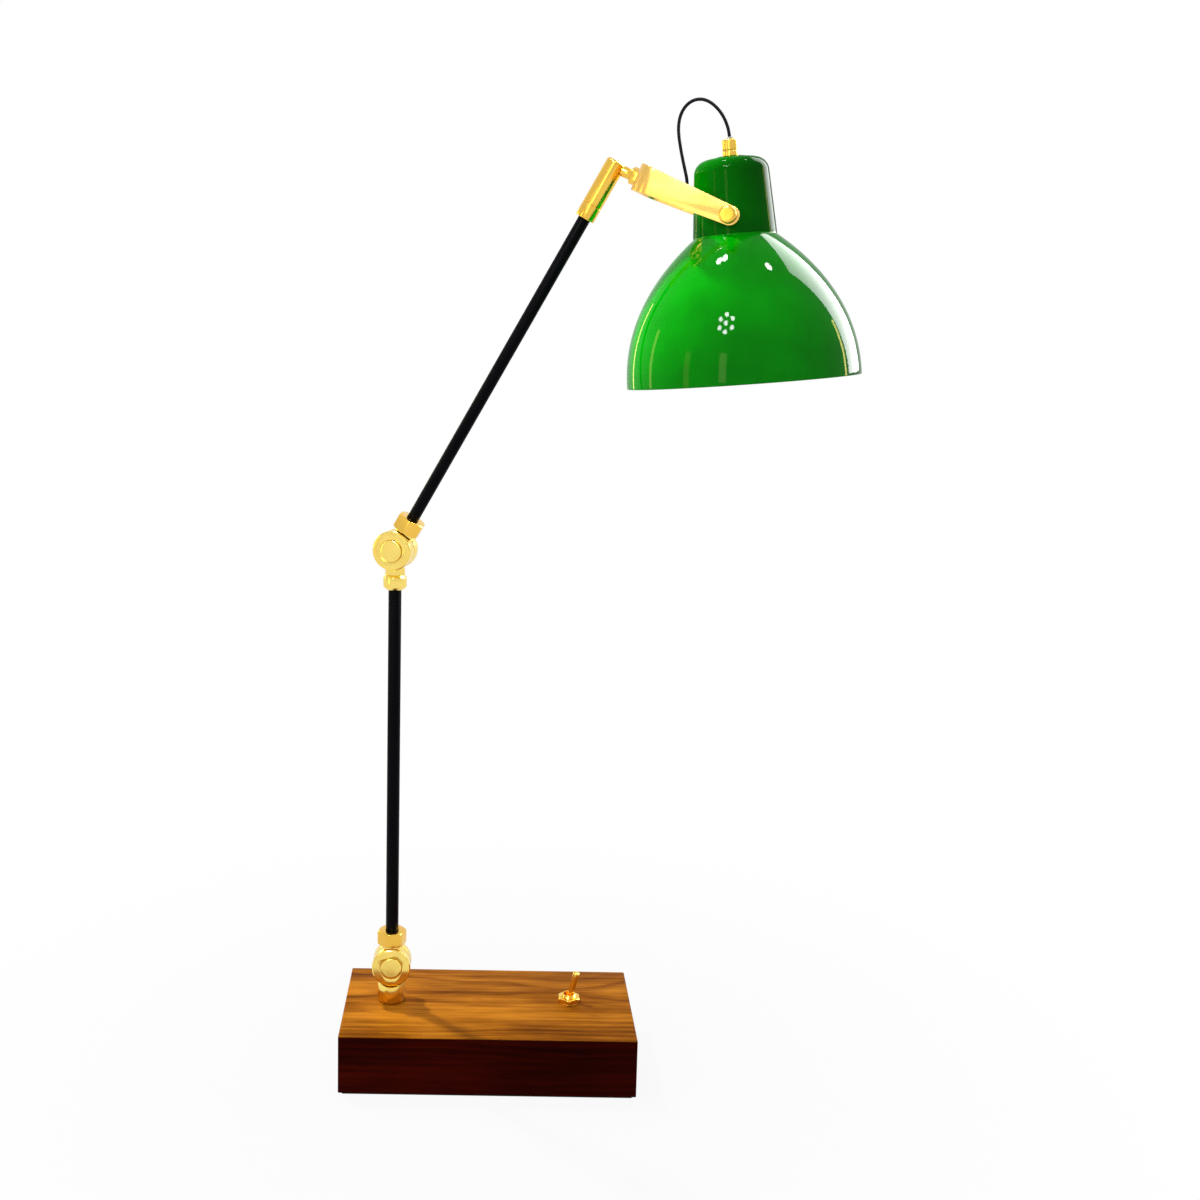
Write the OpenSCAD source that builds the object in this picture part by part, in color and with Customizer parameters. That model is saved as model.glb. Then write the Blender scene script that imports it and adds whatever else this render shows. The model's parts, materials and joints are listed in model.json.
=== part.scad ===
// Articulated desk lamp: wooden base, two tubes on brass disc joints, a swivelling yoke and a spun shade.
// Origin at the middle of the felt's underside, +X towards the switch, +Y to the back, +Z up.

/* [Base block] */
// Length of the wooden block
base_l = 250; // [220:1:320]
// Depth of the wooden block, front to back
base_w = 130; // [115:1:180]
// Height of the wooden block
base_h = 50; // [46:1:70]
// Width of the bevel along the block's edges
base_bevel = 0.8; // [0.4:0.1:3]
// Distance of the foot from the block's left end
foot_inset = 40; // [34:1:55]
// Distance of the switch from the block's right end
switch_inset = 54; // [44:1:64]
// Distance of foot and switch behind the block's middle line
works_back = 5; // [0:1:10]
// Thickness of the felt pad under the block
felt_t = 1.5; // [1:0.1:3]
// Distance of the felt's edge from the block's edge
felt_inset = 2; // [1:0.5:6]

/* [Base pocket] */
// Thickness of the wood around the pocket
side_wall = 20; // [16:1:24]
// Thickness of the wood above the pocket
roof_t = 16; // [12:1:18]
// Thickness of the wood under the switch nut
switch_roof_t = 8; // [6:0.5:9]
// Thickness of the cover plate
cover_t = 2; // [1.5:0.5:3]
// Width of the cover's rim around the pocket
cover_lip = 9; // [8:0.5:11]
// Thickness of the steel ballast
ballast_t = 12; // [8:1:14]
// Room between the ballast and the foot or the switch
ballast_gap = 19; // [17:1:24]
// Room between the ballast and the pocket's long walls
ballast_side = 3; // [1:0.5:10]

/* [Cord inlet] */
// Diameter of the inlet's bore
inlet_bore_d = 6.5; // [5:0.1:8]
// Outer diameter of the inlet bushing
inlet_d = 10; // [9.5:0.1:12]
// Diameter of the inlet's flange
inlet_flange_d = 15; // [14:0.5:20]
// Height of the inlet above the block's underside
inlet_rise = 13; // [12:0.5:14]

/* [Disc joints] */
// Height of the lower pivot above the block
pivot_rise = 33; // [31:1:50]
// Diameter of the joint discs
disc_d = 33.5; // [32:0.5:40]
// Thickness of each joint disc
disc_t = 10.5; // [9.5:0.5:13]
// Bevel around the discs' edges
disc_bevel = 1; // [0.4:0.1:2]
// Thickness of the friction washer between two discs
friction_t = 1; // [0.6:0.1:2]
// Gap between a disc's edge and the saddle that faces it
saddle_gap = 0.8; // [0.5:0.1:1.5]
// Diameter of the pivot bolts
bolt_d = 6; // [5:0.5:8]
// Diameter of the bolt heads and cap nuts
cap_d = 18.5; // [16:0.5:20]
// Height of the heads above the disc face
cap_proud = 1.6; // [1:0.1:3]
// Depth of the recess that the heads sit in
cap_recess = 1.5; // [1:0.1:2]
// Width of the groove around the heads
cap_groove = 0.5; // [0.3:0.1:1]
// Diameter of the foot
foot_d = 24.3; // [22:0.1:28]
// Diameter of the neck between disc and collar
neck_d = 17; // [16:0.5:18]

/* [Collars] */
// Distance from the pivot to the hexagonal collars
collar_start = 18.4; // [18.4:0.1:22]
// Height of the hexagonal collars
collar_h = 12.5; // [10:0.5:16]
// Width of the hexagonal collars across the flats
collar_af = 22; // [20:0.5:26]
// Diameter of the sleeve inside the hexagonal collars
shank_d = 14; // [13.5:0.5:15]
// Thickness of the lip that closes a hexagonal collar around its tube
collar_lip = 2.5; // [1.5:0.5:4]
// Distance from the elbow pivot to the round collar under it
barrel_start = 21; // [19:0.5:24]
// Height of the round collar
barrel_h = 13; // [11:0.5:18]
// Diameter of the round collar
barrel_d = 20; // [18.5:0.5:24]

/* [Tubes] */
// Distance between the two pivots
post_len = 367.5; // [250:0.5:450]
// Diameter of the lower tube
lower_tube_d = 11; // [9:0.5:12]
// Diameter of the upper tube
upper_tube_d = 10; // [8:0.5:11]
// Wall of both tubes
tube_wall = 1; // [0.8:0.1:1.5]
// Depth of a tube in its collar
tube_seat = 11; // [8:0.5:11]
// Distance from the elbow pivot to the brass ferrule
arm_len = 315; // [200:0.5:400]
// Height of the ferrule
ferrule_h = 12; // [8:0.5:20]
// Diameter of ferrule and sleeve
sleeve_d = 16; // [14:0.5:18]
// Length of the sleeve above the ferrule
sleeve_h = 38.5; // [36:0.5:60]
// Depth of the upper tube in the sleeve
sleeve_seat = 12; // [8:0.5:18]

/* [Pose] */
// Turn of the arm towards the front, seen from above
arm_azimuth = 15.5; // [-45:0.5:45]
// Lean of the arm from upright
arm_lean = 29.6; // [10:0.1:50]
// Angle between the arm and the yoke's stem
stem_angle = 83; // [78:0.1:100]
// Lean of the shade's axis from upright
shade_lean = 5.4; // [0:0.1:12]

/* [Yoke] */
// Distance from the arm's axis to the yoke's outer face
stem_reach = 24.3; // [22:0.1:30]
// Distance from the yoke's outer face to the shade's pivot
yoke_len = 78.5; // [72:0.5:100]
// Thickness of the yoke's strap
strap_t = 3; // [2:0.1:4]
// Height of the strap at the crown
crown_h = 21.5; // [20:0.5:28]
// Radius of the strap's outer bends
bend_r = 14; // [8:0.5:18]
// Radius of the prongs' round ends
prong_r = 7.4; // [6.5:0.1:9]
// Distance of the round ends' centres past the pivot
prong_past = 0.6; // [0:0.1:3]
// Distance between the prongs' inner faces
yoke_gap = 68; // [67:0.5:76]
// Diameter of the stem
stem_d = 6; // [5.5:0.5:8]
// Diameter of the stem's bore
stem_bore_d = 3.6; // [3.4:0.1:4]
// Diameter of the stem's shoulder
shoulder_d = 8.6; // [8:0.1:10]
// Depth of the flat that seats the shoulder in the sleeve
spot_depth = 0.75; // [0.5:0.05:1.5]
// Thickness of the nut between sleeve and yoke
stem_nut_t = 9; // [6:0.5:10]
// Width of that nut across the flats
stem_nut_af = 12; // [9.5:0.5:14]
// Thickness of the thin nut inside the crown
lock_nut_t = 3.5; // [2.5:0.5:5]
// Diameter of the thumb screws' heads
thumb_d = 13.3; // [11:0.1:16]
// Length of the thumb screws' heads
thumb_h = 10; // [6:0.5:12]

/* [Shade] */
// Radius of the dome at its rim
dome_r = 90; // [85:1:120]
// Height from the rim to the dome's top edge
dome_h = 112; // [108:1:118]
// Height at which the dome's outline would close
dome_peak = 130; // [126:1:150]
// Thickness of the spun sheet
sheet_t = 1; // [0.8:0.1:1.5]
// Radius of the neck at its foot
shade_neck_r = 32; // [31.5:0.5:33]
// Radius of the neck under its shoulder
shade_neck_top_r = 28.6; // [27:0.2:30]
// Radius of the neck's shoulder
shoulder_r = 10.8; // [6:0.2:13]
// Height of the neck above the dome
shade_neck_h = 58; // [56:1:70]
// Height of the pivot above the dome's top edge
pivot_above_dome = 13; // [12.5:0.5:20]
// Height of the dome's collar inside the neck
dome_collar_h = 8; // [5:0.5:9]
// Diameter of the raised seat on the neck
seat_d = 23; // [18:0.5:28]
// Height of the raised seat
seat_h = 1.5; // [1:0.1:3]
// Diameter of the cord grip
grip_d = 12; // [11.5:0.5:16]
// Height of the cord grip
grip_h = 13; // [11:0.5:18]

/* [Lamp holder and bulb] */
// Diameter of the lamp holder
holder_d = 39; // [36:0.5:42]
// Length of the lamp holder
holder_h = 52; // [50:1:56]
// Diameter of the bulb
bulb_d = 60; // [45:1:60]
// Length of the bulb's glass below the lamp holder
bulb_h = 78; // [70:1:80]
// Diameter of the bulb's screw cap
bulb_cap_d = 26; // [25.5:0.1:26.5]
// Diameter of the flex
flex_d = 2.6; // [2.2:0.1:3]

/* [Switch] */
// Width of the switch nut across the flats
switch_nut_af = 18; // [16:0.5:20]
// Height of the switch nut
switch_nut_h = 4; // [3:0.5:6]
// Diameter of the switch's threaded bushing
switch_bush_d = 12; // [11.8:0.1:12.6]
// Length of the lever above its pivot
lever_len = 27; // [20:0.5:34]
// Diameter of the lever's tip
lever_tip_d = 6; // [5:0.1:7]
// Diameter of the lever at its foot
lever_foot_d = 4.2; // [3.6:0.1:4.6]
// Lean of the lever from upright
lever_lean = 13.8; // [8:0.1:14]

/* [Fits] */
// Radial play of a turning fit
run = 0.05; // [0.02:0.01:0.1]
// Radial play of a fixed fit
fit = 0.05; // [0.02:0.01:0.1]
// Room around wires, screws and pieces that pass each other
clear = 0.3; // [0.2:0.05:0.5]

/* [Hidden] */
$fn = 96;

// Places on the base
base_top = felt_t + base_h;
pocket_top = base_top - roof_t;
cover_top = felt_t + cover_t;
pocket_l = base_l - 2 * side_wall;
pocket_w = base_w - 2 * side_wall;
foot_x = foot_inset - base_l / 2;
switch_x = base_l / 2 - switch_inset;
middle_x = (foot_x + switch_x) / 2;
switch_top = base_top - switch_roof_t;
inlet_z = felt_t + inlet_rise;
ballast_l = switch_x - foot_x - 2 * ballast_gap;
ballast_w = pocket_w - 2 * ballast_side;

// Screws inside the base: head radius, head height, shank radius, shank length
screw_head_r = 3.4;
screw_head_h = 1.8;
screw_r = 1.6;
screw_len = 10;
ballast_head_r = 5;
ballast_head_h = 3;
ballast_screw_r = 2.5;
ballast_screw_from_end = 14;
screw_bite = 9;

// Terminal block and switch body
terminal_size = [30, 12, 14];
terminal_gap = 5;
switch_size = [26, 16, 22];
switch_room = 1;
switch_washer_t = 1;
switch_washer_d = 16;
switch_bush_rise = 7.5;
lever_ball_r = 3.4;
lever_pin_r = 0.9;
lever_pin_half = lever_ball_r + 1.2;
lever_tip_round = 1.6;
mouth_r = 4.8;
lever_z = base_top + 1;
lock_chamfer = 0.8;

// Foot and its fixing
foot_x_y = [foot_x, works_back];
foot_bevel = 1.2;
foot_merge = 11;
nipple_d = 10;
nipple_bore_d = 6.4;
nipple_in_foot = 9;
foot_washer_d = 24;
foot_washer_t = 1.5;
foot_nut_af = 17;
foot_nut_h = 6;
nipple_past = 2.5;

// Disc joints
disc_r = disc_d / 2;
half_gap = friction_t / 2;
disc_face = half_gap + disc_t;
saddle_r = disc_r + saddle_gap;
washer_r = disc_r - 2;
collar_bevel = 1;
post_collar_turn = 12;
arm_collar_turn = -23;
seat_start = collar_start + collar_h - collar_lip;
tube_start = collar_start + collar_h - tube_seat;
elbow_tube_end = barrel_start + barrel_h - tube_seat;
barrel_bevel = 2.4;

// Tubes, sleeve and stem
pivot_z = base_top + pivot_rise;
sleeve_end = arm_len + ferrule_h + sleeve_h;
stem_station = sleeve_end - 5.5;
upper_tube_end = arm_len + ferrule_h + sleeve_seat;
sleeve_round = 2.2;
seam_bevel = 0.3;
wire_bore_r = 2;
yoke_reach = stem_reach + yoke_len;
stem_back = sleeve_d / 2 - 1.5;
shoulder_from = sleeve_d / 2 - spot_depth;
nut_from = stem_reach - stem_nut_t;
web_in = stem_reach + strap_t;
stem_tip = web_in + lock_nut_t + 1;
lock_nut_af = 11;

// Shade, measured from its pivot
rim_z = -(dome_h + pivot_above_dome);
dome_top_z = -pivot_above_dome;
neck_top_z = dome_top_z + shade_neck_h;
seat_z = neck_top_z + seat_h;
grip_z = seat_z + grip_h;
dome_round = 2.14;
dome_flare = 1.2;
dome_steps = 36;
holder_top_z = neck_top_z - sheet_t - 2.5;
holder_mouth_z = holder_top_z - holder_h;
holder_wall = 2.4;
holder_floor = 6;
bulb_cap_h = 25;
bulb_neck_r = 12.6;
bush_rise = 2;
bush_r = 4;
bush_depth = 7;
bush_bore_r = flex_d / 2 + 0.2;
nipple_top_z = grip_z - bush_depth - 1;
thumb_bevel = 0.8;
pivot_nut_t = 4;
pivot_nut_af = 10;
spacer_r = 6.5;
ring_h = 5;
ring_proud = 3;

// Flex from the yoke's stem to the cord grip: points in the arm's upright plane from the shade's
// pivot, [towards the shade, upwards]
flex_points = [
    [-72.4, 30.1], [-66, 27.4], [-60, 24.9], [-54, 22.4], [-48.5, 20], [-43.6, 18.9], [-39.4, 20.8],
    [-37.2, 24.8], [-37.4, 30], [-39, 37], [-41, 45], [-43, 54], [-44.6, 63], [-45, 71], [-43.6, 78.6],
    [-40, 85], [-34.4, 89], [-27.8, 89.8], [-21.4, 87.4], [-15.6, 82.6], [-10.9, 76.4], [-7.9, 70],
    [-6.4, 65], [-5.7, 60.6], [-5.3, 56]
];
flex_sides = 8;
flex_steps = 3;

// A bevelled block, centred
function bevelled(a, b, c) = [
    [-a / 2 + c, -b / 2], [a / 2 - c, -b / 2], [a / 2, -b / 2 + c], [a / 2, b / 2 - c],
    [a / 2 - c, b / 2], [-a / 2 + c, b / 2], [-a / 2, b / 2 - c], [-a / 2, -b / 2 + c]
];

module bevelled_block(size, bevel) {
    intersection() {
        linear_extrude(size.z, center = true) polygon(bevelled(size.x, size.y, bevel));
        rotate([90, 0, 0]) linear_extrude(size.y, center = true) polygon(bevelled(size.x, size.z, bevel));
        rotate([90, 0, 90]) linear_extrude(size.x, center = true) polygon(bevelled(size.y, size.z, bevel));
    }
}

// A rod along Z with a bevel at both ends
module bevelled_rod(r, h, bevel) {
    rotate_extrude() polygon([
        [0, 0], [r - bevel, 0], [r, bevel], [r, h - bevel], [r - bevel, h], [0, h]
    ]);
}

// A hexagon bar along Z whose corners are rounded off at both ends, with a hole
module hex_nut(af, h, bore_d, bevel) {
    corner_r = af / 2 / cos(30);
    difference() {
        intersection() {
            cylinder(r = corner_r, h = h, $fn = 6);
            bevelled_rod(corner_r, h, bevel);
        }
        translate([0, 0, -1]) cylinder(d = bore_d, h = h + 2);
    }
}

module hollow_rod(r, bore_r, h) {
    difference() {
        cylinder(r = r, h = h);
        translate([0, 0, -1]) cylinder(r = bore_r, h = h + 2);
    }
}

// Frames of the moving parts, each inside the one before
module at_foot() {
    translate([foot_x, works_back, base_top]) children();
}

module at_lower_pivot() {
    translate([foot_x, works_back, pivot_z]) children();
}

module at_elbow() {
    translate([foot_x, works_back, pivot_z + post_len]) rotate([0, 0, -arm_azimuth]) children();
}

module along_arm() {
    at_elbow() rotate([0, arm_lean, 0]) children();
}

module along_stem() {
    along_arm() translate([0, 0, stem_station]) rotate([0, stem_angle, 0]) children();
}

module at_shade() {
    along_stem() translate([0, 0, yoke_reach])
        rotate([0, -shade_lean - arm_lean - stem_angle, 0]) children();
}

// The base
module countersunk_screw() {
    rotate_extrude() polygon([
        [0, 0], [screw_head_r, 0], [screw_r, screw_head_h], [screw_r, screw_len - screw_r], [0, screw_len]
    ]);
}

module at_cover_screws() {
    for (x = [-1, 1], y = [-1, 1])
        translate([x * (pocket_l + cover_lip) / 2, y * (pocket_w + cover_lip) / 2, felt_t]) children();
}

module at_ballast_screws() {
    for (x = [-1, 1])
        translate([middle_x + x * (ballast_l / 2 - ballast_screw_from_end), 0, pocket_top - ballast_t])
            children();
}

module at_switch() {
    translate([switch_x, works_back, 0]) children();
}

module at_terminal() {
    translate([switch_x, works_back + switch_size.y / 2 + terminal_gap + terminal_size.y / 2, pocket_top])
        children();
}

module base_block() {
    color("saddlebrown") difference() {
        translate([0, 0, felt_t + base_h / 2]) bevelled_block([base_l, base_w, base_h], base_bevel);
        translate([-pocket_l / 2, -pocket_w / 2, 0]) cube([pocket_l, pocket_w, pocket_top]);
        translate([-pocket_l / 2 - cover_lip, -pocket_w / 2 - cover_lip, 0])
            cube([pocket_l + 2 * cover_lip, pocket_w + 2 * cover_lip, cover_top]);
        at_cover_screws() cylinder(r = screw_r + clear / 2, h = screw_len + clear);
        at_ballast_screws() cylinder(r = ballast_screw_r + clear / 2, h = ballast_t + screw_bite + clear);
        at_terminal() cylinder(r = screw_r + clear / 2, h = screw_bite);
        at_switch() translate([-switch_size.x / 2 - switch_room, -switch_size.y / 2 - switch_room, 0])
            cube([switch_size.x + 2 * switch_room, switch_size.y + 2 * switch_room, switch_top]);
        at_switch() cylinder(d = switch_bush_d + 2 * fit, h = base_top + 1);
        at_foot() translate([0, 0, -base_top]) cylinder(d = nipple_d + 2 * fit, h = base_top + 1);
        translate([middle_x, base_w / 2 + 1, inlet_z]) rotate([90, 0, 0])
            cylinder(d = inlet_d + 2 * fit, h = side_wall + 2);
    }
}

module base_cover() {
    color("dimgray") difference() {
        translate([-pocket_l / 2 - cover_lip + clear, -pocket_w / 2 - cover_lip + clear, felt_t])
            cube([pocket_l + 2 * (cover_lip - clear), pocket_w + 2 * (cover_lip - clear), cover_t]);
        at_cover_screws() translate([0, 0, -fit]) rotate_extrude() polygon([
            [0, -1], [screw_head_r + fit, -1], [screw_head_r + fit, 0], [screw_r + fit, screw_head_h],
            [screw_r + fit, cover_t + 1], [0, cover_t + 1]
        ]);
    }
}

module cover_screws() {
    color("silver") at_cover_screws() countersunk_screw();
}

module felt_pad() {
    color("darkgreen") translate([0, 0, felt_t / 2])
        linear_extrude(felt_t, center = true)
            polygon(bevelled(base_l - 2 * felt_inset, base_w - 2 * felt_inset, felt_inset));
}

module ballast_plate() {
    color("slategray") difference() {
        translate([middle_x, 0, pocket_top - ballast_t / 2])
            bevelled_block([ballast_l, ballast_w, ballast_t], base_bevel);
        at_ballast_screws() translate([0, 0, -1]) cylinder(r = ballast_screw_r + fit, h = ballast_t + 2);
    }
}

module ballast_screws() {
    color("silver") at_ballast_screws() {
        translate([0, 0, -ballast_head_h]) bevelled_rod(ballast_head_r, ballast_head_h, lock_chamfer);
        cylinder(r = ballast_screw_r, h = ballast_t + screw_bite);
    }
}

module inlet_bushing() {
    flange_t = 2;
    r = inlet_d / 2;
    color("black") translate([middle_x, base_w / 2, inlet_z]) rotate([90, 0, 0]) rotate_extrude() polygon([
        [inlet_bore_d / 2, -flange_t], [inlet_flange_d / 2 - lock_chamfer, -flange_t],
        [inlet_flange_d / 2, lock_chamfer - flange_t], [inlet_flange_d / 2, 0], [r, 0],
        [r, side_wall + 1], [inlet_bore_d / 2, side_wall + 1]
    ]);
}

module terminal_block() {
    color("ivory") at_terminal() difference() {
        translate([0, 0, -terminal_size.z / 2]) bevelled_block(terminal_size, lock_chamfer);
        translate([0, 0, -terminal_size.z - 1]) cylinder(r = screw_r + fit, h = terminal_size.z + 2);
        for (x = [-1, 1]) translate([x * terminal_size.x / 3, 0, -terminal_size.z / 2])
            rotate([90, 0, 0]) cylinder(r = wire_bore_r, h = terminal_size.y + 2, center = true);
    }
}

module terminal_screw() {
    color("silver") at_terminal() {
        translate([0, 0, -terminal_size.z - screw_head_h])
            bevelled_rod(screw_head_r, screw_head_h, lock_chamfer);
        translate([0, 0, -terminal_size.z]) cylinder(r = screw_r, h = terminal_size.z + screw_bite - 1);
    }
}

// The switch
module switch_body() {
    color("darkslategray") at_switch() difference() {
        translate([0, 0, switch_top - switch_size.z / 2]) bevelled_block(switch_size, lock_chamfer);
        for (x = [-1, 1]) translate([x * switch_size.x / 4, 0, switch_top - switch_size.z - 1])
            cylinder(r = screw_r, h = screw_bite);
    }
}

module switch_bushing() {
    r = switch_bush_d / 2;
    ball_bore = lever_ball_r + run;
    top = base_top + switch_bush_rise;
    color("gold") at_switch() difference() {
        rotate_extrude() polygon([
            [0, switch_top], [r, switch_top], [r, top - lock_chamfer], [r - lock_chamfer, top],
            [mouth_r, top], [ball_bore, lever_z + 1], [ball_bore, lever_z - lever_ball_r - 1],
            [0, lever_z - lever_ball_r - 1]
        ]);
        translate([0, 0, lever_z]) rotate([90, 0, 0])
            cylinder(r = lever_pin_r + run, h = 2 * (lever_pin_half + run), center = true);
    }
}

module switch_washer() {
    color("gold") at_switch() translate([0, 0, base_top])
        hollow_rod(switch_washer_d / 2 + collar_bevel, switch_bush_d / 2 + fit, switch_washer_t);
}

module switch_nut() {
    color("gold") at_switch() translate([0, 0, base_top + switch_washer_t])
        hex_nut(switch_nut_af, switch_nut_h, switch_bush_d + 2 * fit, collar_bevel);
}

module switch_lever() {
    foot_r = lever_foot_d / 2;
    tip_r = lever_tip_d / 2;
    color("goldenrod") translate([switch_x, works_back, lever_z]) rotate([0, lever_lean, 0]) {
        sphere(r = lever_ball_r);
        rotate([90, 0, 0]) cylinder(r = lever_pin_r, h = 2 * lever_pin_half, center = true);
        rotate_extrude() polygon([
            [0, 0], [foot_r, 0], [foot_r, lever_ball_r], [tip_r, lever_len - lever_tip_round],
            [tip_r - lever_tip_round / 3, lever_len - lever_tip_round / 3],
            [tip_r - lever_tip_round, lever_len], [0, lever_len]
        ]);
    }
}

// The disc joints: a disc behind its pivot's middle plane, its axis along Y
module joint_disc() {
    rotate([-90, 0, 0]) difference() {
        translate([0, 0, half_gap]) bevelled_rod(disc_r, disc_t, disc_bevel);
        translate([0, 0, disc_face - cap_recess]) cylinder(d = cap_d + 2 * cap_groove, h = cap_recess + 1);
    }
}

module bolt_hole(play) {
    rotate([90, 0, 0]) cylinder(d = bolt_d + 2 * play, h = 2 * disc_face, center = true);
}

// Room for the other half's disc in front of the middle plane
module saddle_room() {
    rotate([90, 0, 0]) translate([0, 0, -half_gap]) cylinder(r = saddle_r, h = foot_d);
}

module joint_bolt() {
    head_h = cap_recess + cap_proud;
    color("goldenrod") rotate([90, 0, 0]) {
        translate([0, 0, disc_face - cap_recess]) bevelled_rod(cap_d / 2, head_h, lock_chamfer);
        translate([0, 0, cap_recess - disc_face]) cylinder(d = bolt_d, h = 2 * (disc_face - cap_recess));
    }
}

module joint_cap_nut() {
    head_h = cap_recess + cap_proud;
    color("goldenrod") rotate([-90, 0, 0]) translate([0, 0, disc_face - cap_recess])
        bevelled_rod(cap_d / 2, head_h, lock_chamfer);
}

module friction_washer() {
    color("dimgray") rotate([90, 0, 0]) translate([0, 0, -half_gap])
        hollow_rod(washer_r, bolt_d / 2 + clear, friction_t);
}

module foot_knuckle() {
    color("gold") at_lower_pivot() difference() {
        union() {
            joint_disc();
            difference() {
                translate([0, 0, -pivot_rise]) bevelled_rod(foot_d / 2, pivot_rise - foot_merge, foot_bevel);
                saddle_room();
            }
        }
        bolt_hole(fit);
        translate([0, 0, -pivot_rise - 1]) cylinder(d = nipple_d + 2 * fit, h = nipple_in_foot + 1);
    }
}

module foot_nipple() {
    below = roof_t + foot_washer_t + foot_nut_h + nipple_past;
    color("silver") at_foot() translate([0, 0, -below])
        hollow_rod(nipple_d / 2, nipple_bore_d / 2, below + nipple_in_foot);
}

module foot_washer() {
    color("silver") at_foot() translate([0, 0, -roof_t - foot_washer_t])
        hollow_rod(foot_washer_d / 2, nipple_d / 2 + fit, foot_washer_t);
}

module foot_nut() {
    color("silver") at_foot() translate([0, 0, -roof_t - foot_washer_t - foot_nut_h])
        hex_nut(foot_nut_af, foot_nut_h, nipple_d + 2 * fit, collar_bevel);
}

module lower_bolt() {
    at_lower_pivot() joint_bolt();
}

module lower_cap_nut() {
    at_lower_pivot() joint_cap_nut();
}

module lower_friction_washer() {
    at_lower_pivot() friction_washer();
}

// Half of a joint behind the middle plane, its neck and shank rising along Z to hold a tube
module collared_half(tube_d, tube_play, bolt_play) {
    difference() {
        union() {
            joint_disc();
            difference() {
                union() {
                    cylinder(d = neck_d, h = collar_start);
                    cylinder(d = shank_d, h = seat_start);
                }
                saddle_room();
            }
        }
        bolt_hole(bolt_play);
        translate([0, 0, tube_start]) cylinder(d = tube_d + 2 * tube_play, h = collar_h + 1);
    }
}

module hex_collar(tube_d, turn) {
    difference() {
        translate([0, 0, collar_start]) rotate([0, 0, turn]) hex_nut(collar_af, collar_h, tube_d + 2 * clear, collar_bevel);
        translate([0, 0, collar_start - 1]) cylinder(d = shank_d + 2 * fit, h = collar_h - collar_lip + 1);
    }
}

module post_knuckle() {
    color("gold") at_lower_pivot() mirror([0, 1, 0]) collared_half(lower_tube_d, run, run);
}

module post_collar() {
    color("gold") at_lower_pivot() hex_collar(lower_tube_d, post_collar_turn);
}

module lower_tube() {
    color("black") at_lower_pivot() translate([0, 0, tube_start])
        hollow_rod(lower_tube_d / 2, lower_tube_d / 2 - tube_wall, post_len - tube_start - elbow_tube_end);
}

module elbow_lower_half() {
    barrel_end = barrel_start + barrel_h;
    color("gold") at_elbow() difference() {
        union() {
            mirror([0, 1, 0]) joint_disc();
            difference() {
                union() {
                    translate([0, 0, -barrel_start]) cylinder(d = neck_d, h = barrel_start);
                    translate([0, 0, -barrel_end]) bevelled_rod(barrel_d / 2, barrel_h, barrel_bevel);
                }
                mirror([0, 1, 0]) saddle_room();
            }
        }
        bolt_hole(fit);
        translate([0, 0, -barrel_end - 1]) cylinder(d = lower_tube_d + 2 * fit, h = tube_seat + 1);
    }
}

module elbow_bolt() {
    at_elbow() joint_bolt();
}

module elbow_cap_nut() {
    at_elbow() joint_cap_nut();
}

module elbow_friction_washer() {
    at_elbow() friction_washer();
}

module elbow_upper_half() {
    color("gold") along_arm() collared_half(upper_tube_d, fit, run);
}

module arm_collar() {
    color("gold") along_arm() hex_collar(upper_tube_d, arm_collar_turn);
}

// The arm
module upper_tube() {
    color("black") along_arm() translate([0, 0, tube_start])
        hollow_rod(upper_tube_d / 2, upper_tube_d / 2 - tube_wall, upper_tube_end - tube_start);
}

module arm_ferrule() {
    color("gold") along_arm() translate([0, 0, arm_len]) difference() {
        bevelled_rod(sleeve_d / 2, ferrule_h, seam_bevel);
        translate([0, 0, -1]) cylinder(d = upper_tube_d + 2 * fit, h = ferrule_h + 2);
    }
}

module arm_sleeve() {
    r = sleeve_d / 2;
    color("gold") along_arm() difference() {
        translate([0, 0, arm_len + ferrule_h]) rotate_extrude() {
            polygon([
                [0, 0], [r - seam_bevel, 0], [r, seam_bevel], [r, sleeve_h - sleeve_round],
                [r - sleeve_round, sleeve_h - sleeve_round], [r - sleeve_round, sleeve_h], [0, sleeve_h]
            ]);
            intersection() {
                translate([r - sleeve_round, sleeve_h - sleeve_round]) circle(r = sleeve_round);
                translate([r - sleeve_round, sleeve_h - sleeve_round]) square(sleeve_round);
            }
        }
        translate([0, 0, arm_len + ferrule_h - 1]) cylinder(d = upper_tube_d + 2 * fit, h = sleeve_seat + 1);
        translate([0, 0, upper_tube_end - 1]) cylinder(r = wire_bore_r, h = stem_station - upper_tube_end);
        translate([0, 0, stem_station]) rotate([0, stem_angle, 0]) {
            translate([0, 0, -stem_back]) cylinder(d = stem_d + 2 * fit, h = stem_back + sleeve_d);
            translate([0, 0, shoulder_from]) cylinder(d = shoulder_d + 2 * fit, h = sleeve_d);
        }
    }
}

module yoke_stem() {
    bore = stem_bore_d / 2;
    color("gold") along_stem() difference() {
        rotate_extrude() polygon([
            [bore, 0], [bore, -stem_back + 1], [0, -stem_back + 1], [0, -stem_back],
            [stem_d / 2, -stem_back], [stem_d / 2, shoulder_from], [shoulder_d / 2, shoulder_from],
            [shoulder_d / 2, nut_from], [stem_d / 2, nut_from], [stem_d / 2, stem_tip], [bore, stem_tip]
        ]);
        rotate([0, -stem_angle, 0]) translate([0, 0, -stem_d]) cylinder(r = wire_bore_r - clear, h = stem_d);
    }
}

module stem_nut() {
    color("gold") along_stem() translate([0, 0, nut_from])
        hex_nut(stem_nut_af, stem_nut_t - run, stem_d + 2 * fit, lock_chamfer);
}

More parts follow.
